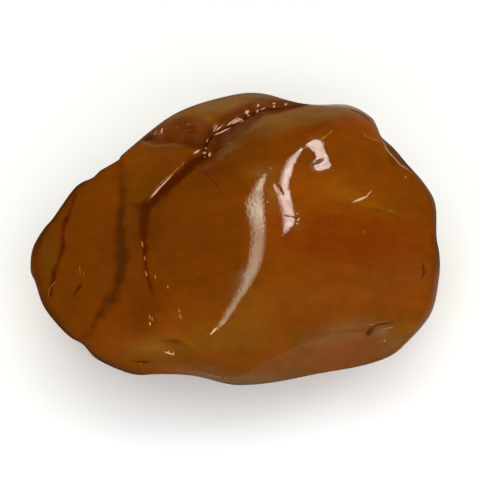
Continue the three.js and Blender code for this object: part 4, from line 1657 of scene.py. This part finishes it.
@dataclass(frozen=True)
class JadeMaterial:
    """The stone's material.

    Args:
        finish: its colours and polish.
    """

    finish: JadeFinish

    def build(self) -> bpy.types.Material:
        """Builds the material.

        Returns:
            The material.
        """
        finish = self.finish
        material, shader = new_material("jade")
        sketch = Sketch(material.node_tree)
        place = sketch.draw("ShaderNodeTexCoord", {}, "Object")
        colour, cuts = self.colour(sketch, place)
        worn = sketch.step(sketch.closeness(DULL_MARKS), *WORN_EDGE)
        polish = sketch.product(
            sketch.scaled(sketch.attribute(Layer.DULL), -DULL_LOSS * finish.coat, finish.coat),
            sketch.less(sketch.attribute(Layer.PAINTED_RIM_SHADE), RIM_LOSS),
            sketch.less(cuts, CUT_LOSS),
            sketch.less(worn, WORN_LOSS),
        )
        normal = self.bump(sketch, place)
        values = {
            "Base Color": colour, "Normal": normal, "Coat Normal": normal, "Coat Weight": polish,
            "Roughness": finish.roughness, "IOR": finish.ior, "Specular IOR Level": finish.specular,
            "Subsurface Weight": finish.subsurface, "Subsurface Radius": finish.subsurface_radius,
            "Subsurface Scale": finish.subsurface_scale, "Coat Roughness": finish.coat_roughness,
            "Coat IOR": finish.coat_ior,
        }
        for name, value in values.items():
            sketch.plug(value, shader.inputs[name])
        return material

    def colour(self, sketch: Sketch, place: Socket) -> tuple[Socket, Socket]:
        """Draws the colour: clouded jade with painted light and shade, then the fracture's colour with
        painted shade, the stains with painted highlights, glints and shade, and the painted sheen.

        Args:
            sketch: the tree.
            place: object coordinates.

        Returns:
            The colour, and how far the place is cut by a dark mark.
        """
        finish = self.finish
        drift, speck, mottle, fine = (sketch.noise(place, grain) for grain in (DRIFT, SPECK, MOTTLE, FINE))
        streaks = sketch.noise(sketch.squeezed(place, STREAK_SQUEEZE), STREAKS)
        sway = sketch.scaled(drift, DRIFT_WARMTH, -DRIFT_WARMTH / 2)
        warmth = sketch.math("ADD", sketch.attribute(Layer.WARMTH), sway)
        jade = sketch.mix(sketch.step(warmth, 0.0, AMBER_WARMTH), finish.olive, finish.amber)
        jade = sketch.mix(sketch.step(warmth, AMBER_WARMTH, ORANGE_WARMTH), jade, finish.orange)
        shades = [
            sketch.scaled(noise, grain.contrast, 1.0 - grain.contrast / 2)
            for noise, grain in ((speck, SPECK), (drift, DRIFT), (mottle, MOTTLE), (streaks, STREAKS))
        ]
        # Lightness of the jade: its own patches with painted light and shade, and the rim painted darker.
        painted_light_and_tone = sketch.math("ADD", 1.0, sketch.attribute(Layer.PAINTED_LIGHT_AND_TONE))
        rim = sketch.less(sketch.attribute(Layer.PAINTED_RIM_SHADE), RIM_SHADE_STRENGTH)
        jade = sketch.tint(jade, sketch.product(*shades, painted_light_and_tone, rim))
        # The open fracture's colour, partly painted shade in the crack, the recess and below the ledge.
        cleft_and_shade = sketch.mix(sketch.step(speck, *REDDER_CLEFT), finish.cleft_and_shade, finish.cleft_red)
        jade = sketch.mix(sketch.attribute(Layer.CLEFT_AND_SHADE), jade, sketch.tint(cleft_and_shade, painted_light_and_tone))
        soft, fray = sketch.math("MULTIPLY", speck, SPECK_STRAY), sketch.math("ADD", mottle, fine)
        cuts = None
        for stain in STAINS:
            stray = sketch.scaled(soft if stain.soft else fray, stain.ragged, -stain.ragged)
            near = sketch.closeness(stain.marks, sketch.attribute(stain.layer))
            cover = sketch.step(sketch.math("ADD", near, stray), stain.starts, stain.full)
            jade = sketch.mix(sketch.math("MULTIPLY", cover, stain.strength), jade, stain.colour)
            cuts = cover if stain.layer is Layer.DARK else cuts
        # Painted sheen greys the jade, in streaks.
        sheen_share = sketch.product(sketch.attribute(Layer.PAINTED_SHEEN), sketch.math("MULTIPLY", streaks, PAINTED_SHEEN_STREAKS))
        return sketch.mix(sketch.math("MINIMUM", sheen_share, 1.0), jade, finish.painted_sheen), cuts

    def bump(self, sketch: Sketch, place: Socket) -> Socket:
        """Draws the bump: faint polishing waves and the rough floor of the fracture.

        Args:
            sketch: the tree.
            place: object coordinates.

        Returns:
            The normal.
        """
        wave, fine, grit = (
            sketch.math("MULTIPLY", sketch.noise(place, grain), height)
            for grain, height in ((WAVE, WAVE_HEIGHT), (FINE, FINE_HEIGHT), (GRIT, GRIT_HEIGHT))
        )
        rough = sketch.math("MULTIPLY", grit, sketch.attribute(Layer.CLEFT_AND_SHADE))
        height = sketch.math("ADD", sketch.math("ADD", wave, fine), rough)
        return sketch.draw("ShaderNodeBump", {"Height": height, "Distance": 1.0, "Strength": 1.0}, "Normal")


@dataclass(frozen=True)
class FloorFinish:
    """Colour, grain and size of the floor."""

    colour: Colour = (0.93, 0.93, 0.925)
    roughness: float = 0.9
    specular: float = 0.1
    size: float = 3.0


@dataclass(frozen=True)
class Floor:
    """The pale floor.

    Args:
        finish: its finish.
    """

    finish: FloorFinish

    def build(self) -> bpy.types.Object:
        """Builds the floor.

        Returns:
            The floor's object.
        """
        half = self.finish.size / 2
        corners = [(-half, -half, 0), (half, -half, 0), (half, half, 0), (-half, half, 0)]
        mesh = bpy.data.meshes.new("floor")
        mesh.from_pydata(corners, [], [(0, 1, 2, 3)])
        material, shader = new_material("floor")
        shader.inputs["Base Color"].default_value = (*self.finish.colour, 1.0)
        shader.inputs["Roughness"].default_value = self.finish.roughness
        shader.inputs["Specular IOR Level"].default_value = self.finish.specular
        mesh.materials.append(material)
        return add_object("floor", mesh)


@dataclass(frozen=True)
class SoftLight:
    """A soft rectangular light, placed by its angles from the line of view.

    Args:
        name: what it is.
        right_deg: degrees to the right of the line of view.
        up_deg: degrees above it.
        distance: metres from the stone.
        width: metres.
        height: metres.
        power: watts.
        colour: its colour.
        mirrored: whether it shows in the polish.
        profile: its strength at shares of its width, from its left side.
        levels: its strength at shares of its height, from its foot up.
    """

    name: str
    right_deg: float
    up_deg: float
    distance: float
    width: float
    height: float
    power: float
    colour: Colour
    mirrored: bool = True
    profile: tuple[Point, ...] = ()
    levels: tuple[Point, ...] = ()


LIGHTS = (
    SoftLight("overhead_fill", 0, 36, 1.4, 2, 2, 13, (1, 1, 1), mirrored=False),
    SoftLight("front_fill", 0, -20, 1.4, 2.2, 0.9, 24, (1, 1, 1), mirrored=False),
    SoftLight("left_fill", -75, 15, 1.4, 1.2, 1.2, 5, (1, 1, 1), mirrored=False),
    SoftLight("right_fill", 75, 15, 1.4, 1.2, 1.2, 10.5, (1, 1, 1), mirrored=False),
    SoftLight("tall_window", -6.5, 22, 0.8, 0.11, 0.6, 9.5, (1, 0.93, 0.68),
              profile=((0, 0.02), (0.4, 1), (0.58, 1), (0.9, 0.35)),
              levels=((0, 0.52), (0.31, 0.42), (0.47, 0.56), (0.6, 0.52), (0.7, 0.48), (0.76, 0.42),
                      (0.82, 0.55), (0.86, 0.8), (0.92, 1), (1, 0.7))),
    SoftLight("side_window", 14.2, 43.5, 0.8, 0.155, 0.28, 7.9, (1, 0.88, 0.8),
              profile=((0, 0.12), (0.3, 0.5), (0.5, 0.85), (0.66, 1.35), (0.8, 1), (0.9, 0.7), (1, 0.25)),
              levels=((0, 0.85), (0.07, 0.92), (0.13, 1), (0.2, 0.85), (0.28, 0.7), (0.35, 0.78),
                      (0.42, 0.72), (0.5, 0.6), (0.58, 0.62), (0.62, 1.25), (0.68, 1.25), (0.72, 0.4),
                      (1, 0.2))),
)


# Where the room's walls start and are in full, as a share of the way toward its back, and its colours
NEAR_WALL = (-0.3, -0.75)
FAR_WALL = (0.5, 0.82)
ROOM_DARK = (0.02, 0.02, 0.02)
ROOM_DIM = (0.26, 0.25, 0.24)
ROOM_PALE = (1.6, 1.58, 1.2)


@dataclass(frozen=True)
class Studio:
    """Camera, lights and surroundings.

    Args:
        pebble: the stone, once it is placed.
        lights: the lights.
    """

    pebble: Pebble
    lights: Sequence[SoftLight]

    def axes(self) -> tuple[Vector, Vector, Vector]:
        """Right, up and outward axes of the view."""
        sin, cos = math.sin(math.radians(FACE_TILT_DEG)), math.cos(math.radians(FACE_TILT_DEG))
        return Vector((1.0, 0.0, 0.0)), Vector((0.0, sin, cos)), Vector((0.0, -cos, sin))

    def put(self, added: bpy.types.Object, axes: Sequence[Vector], distance: float) -> None:
        """Puts an object a distance from the middle of the view, with its last axis away from the stone."""
        place = Matrix.Translation(self.pebble.spot(*VIEW_OFFSET) + axes[-1] * distance)
        added.matrix_world = place @ Matrix(axes).transposed().to_4x4()

    def add_camera(self) -> None:
        """Adds the camera, square to the broad face."""
        data = bpy.data.cameras.new("view")
        data.sensor_width = SENSOR_WIDTH
        data.lens = SENSOR_WIDTH * VIEW_DISTANCE / (VIEW_WIDTH * self.pebble.scale)
        camera = add_object("view", data)
        self.put(camera, self.axes(), VIEW_DISTANCE)
        bpy.context.scene.camera = camera

    def add_light(self, light: SoftLight) -> None:
        """Adds one soft light, facing the stone.

        Args:
            light: the light.
        """
        right, up, out = self.axes()
        turn, rise = math.radians(light.right_deg), math.radians(light.up_deg)
        level = out * math.cos(turn) + right * math.sin(turn)
        toward = level * math.cos(rise) + up * math.sin(rise)
        across = up.cross(toward).normalized()
        data = bpy.data.lights.new(light.name, "AREA")
        data.shape = "RECTANGLE"
        data.size, data.size_y = light.width, light.height
        data.energy, data.color = light.power, light.colour
        if light.profile:
            self.shade(data, light)
        lamp = add_object(light.name, data)
        self.put(lamp, (across, toward.cross(across), toward), light.distance)
        lamp.visible_glossy = light.mirrored
        lamp.visible_diffuse = not light.mirrored

    @staticmethod
    def shade(data: bpy.types.AreaLight, light: SoftLight) -> None:
        """Dims a lamp by its profile across and its levels up.

        Args:
            data: the lamp.
            light: what it should look like.
        """
        data.use_nodes = True
        sketch = Sketch(data.node_tree)
        place = sketch.draw("ShaderNodeNewGeometry", {}, "Parametric")
        across = sketch.through(sketch.part(place, "X"), light.profile)
        up = sketch.through(sketch.part(place, "Y"), light.levels)
        sketch.plug(sketch.product(across, up), data.node_tree.nodes["Emission"].inputs["Strength"])

    def add_surroundings(self) -> None:
        """Adds a dim room: dark toward the viewer, paler behind and above the stone."""
        world = bpy.data.worlds.new("room")
        world.use_nodes = True
        sketch = Sketch(world.node_tree)
        background = world.node_tree.nodes["Background"]
        back = sketch.part(sketch.draw("ShaderNodeTexCoord", {}, "Generated"), "Y")
        room = sketch.mix(sketch.step(back, *NEAR_WALL), ROOM_DARK, ROOM_DIM)
        room = sketch.mix(sketch.step(back, *FAR_WALL), room, ROOM_PALE)
        sketch.plug(room, background.inputs["Color"])
        background.inputs["Strength"].default_value = 1.0
        bpy.context.scene.world = world

    def build(self) -> None:
        """Adds everything."""
        self.add_camera()
        for light in self.lights:
            self.add_light(light)
        self.add_surroundings()
        bpy.context.scene.view_settings.view_transform = "Standard"


FRACTURE_OFFSETS = (-3.2, -1.5, -0.35, 0, 0.35, 1.2, 2.6, 4)
FRACTURE_STATIONS = (
    (0, (0, 0, 0, 0, 0, 0, 0, 0)), (0.12, (0, 0, -0.3, -0.6, -0.1, 0, 0, 0)),
    (0.35, (0, -0.3, -0.9, -1.3, -0.5, -0.1, 0, 0)), (0.55, (0, -0.8, -1.5, -2, -1.1, -0.5, 0, 0)),
    (0.75, (-0.2, -1.1, -1.8, -2.3, -1.6, -1.1, -0.4, 0)),
    (0.9, (0, -0.7, -1.5, -2.1, -1.7, -1.3, -0.7, 0)), (1, (0, -0.4, -0.9, -1.3, -0.9, -0.5, 0, 0)),
)
LEDGE_OFFSETS = (-6, -2, -0.25, 0, 0.3, 1.2, 4.5)
LEDGE_STATIONS = (
    (0, (0, 0, -0.6, -1, -1.2, -0.8, 0)), (0.25, (0.1, 0.2, 0.05, -0.2, -0.7, -0.6, 0)),
    (0.45, (0.15, 0.3, 0.3, 0.15, -0.5, -0.5, 0)), (0.7, (0.15, 0.3, 0.33, 0.15, -0.4, -0.4, 0)),
    (0.85, (0.1, 0.15, 0.18, 0.1, -0.2, -0.2, 0)), (1, (0, 0, 0, 0, 0, 0, 0)),
)
NOTCH_OFFSETS = (-2, -0.5, -0.15, 0.2, 1.5)
NOTCH_STATIONS = (
    (0, (0, 0, 0, 0, 0)), (0.2, (0, 0.05, 0.1, -0.8, -0.9)), (0.8, (0, 0.05, 0.1, -0.8, -0.9)),
    (1, (0, 0, 0, 0, 0)),
)
DIMPLES = (
    Dimple(-12, -18.6, 0.4, 0.25, 0, 0.12), Dimple(-16.8, -20, 1, 0.35, 15, 0.2),
    Dimple(-15.6, 18.1, 0.9, 0.5, 20, 0.5),
)
# The slopes of the flats that mirror the tall window, and of those that mirror the side one
TALL = (0.035, -0.18)
SIDE = (-0.118, -0.43)
ARCH_FACE = Curve((
    (10.9, 16.6), (11.6, 17.3), (12.8, 17.75), (13.8, 17.5), (14.2, 16.5), (14.75, 15.7), (15.2, 15),
    (15.55, 14), (15.9, 12.8), (14.6, 12.4), (13.2, 12.2), (12.5, 12.8), (12.4, 13.5), (12.8, 14.3),
    (12.7, 15), (12.2, 15.7), (11.4, 16.2),
), True)
FLAKES = (Flake(ARCH_FACE, -0.123, -0.43, 0.3),)
CHIPS = tuple(Chip(*row) for row in (
    (-3, 19.1, 1.7, 0.2, 27, *SIDE), (-3.6, 19.7, 1, 0.15, 38, *TALL), (-0.5, 20.95, 1.3, 0.32, 27, *SIDE),
    (1.25, 22.2, 0.3, 0.2, 60, *SIDE), (3, 22.75, 0.4, 0.16, 20, *TALL), (5.8, 23.4, 0.24, 0.24, 0, *SIDE),
    (-4.4, 20, 0.6, 0.12, 60, *TALL), (-5.6, 17.6, 0.6, 0.13, 65, *SIDE),
    (-5.8, 16.2, 0.26, 0.16, 0, *TALL), (-7.4, 15.6, 0.8, 0.22, 35, *SIDE),
    (-6.1, 15.4, 0.5, 0.28, 0, *TALL), (-5.2, 15.1, 0.5, 0.26, 80, *SIDE),
    (-6, 14.7, 0.22, 0.14, 20, *SIDE), (-14.6, 18.8, 0.4, 0.13, 75, *SIDE),
    (-13.5, 19.1, 0.5, 0.15, 85, *TALL), (24.7, -16.7, 0.3, 0.15, -20, *TALL),
))


# For each layer of ripples, the size of its cells, its seed and its height
RIPPLES = ((6.0, 1, 0.02), (2.6, 2, 0.006))


def front_reliefs() -> tuple[Relief, ...]:
    """Gathers everything that raises or lowers the front of the stone.

    Returns:
        The reliefs, from coarse to fine.
    """
    return (
        Moulding(FRACTURE, FRACTURE_OFFSETS, FRACTURE_STATIONS, ragged=0.05),
        Moulding(LEDGE, LEDGE_OFFSETS, LEDGE_STATIONS),
        Moulding(NOTCH_EDGE, NOTCH_OFFSETS, NOTCH_STATIONS),
        Groove(SEAM, depth=0.05, half_width=0.4, fade=0.3),
        Hollow(RECESS, depth=1.1, start=-0.4, end=0.7, middle_v=18.8, lean=0.33),
        Hollow(LENS, depth=0.2, start=-1.6, end=2.4),
        Hollow(PIT, depth=0.3, start=-0.3, end=0.7),
        Ripples(tuple((Lattice(cell, seed), height) for cell, seed, height in RIPPLES)),
    )


def main() -> None:
    """Builds the stone, the floor and the studio in order."""
    logging.basicConfig(level=logging.INFO)
    form = PebbleForm(Outline(OUTLINE), front_reliefs(), FLAKES + CHIPS, DIMPLES)
    pebble = Pebble(form, Ball(CUBE_CELLS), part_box(NODE))
    piece = pebble.build()
    piece.data.materials.append(JadeMaterial(JadeFinish()).build())
    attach(piece, BODY)
    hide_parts(NODE)
    LOG.info("stone: %d faces, scale %.4f", len(piece.data.polygons), pebble.scale / MM)
    Floor(FloorFinish()).build()
    Studio(pebble, LIGHTS).build()
    LOG.info("sizes written")


if __name__ == "__main__":
    main()
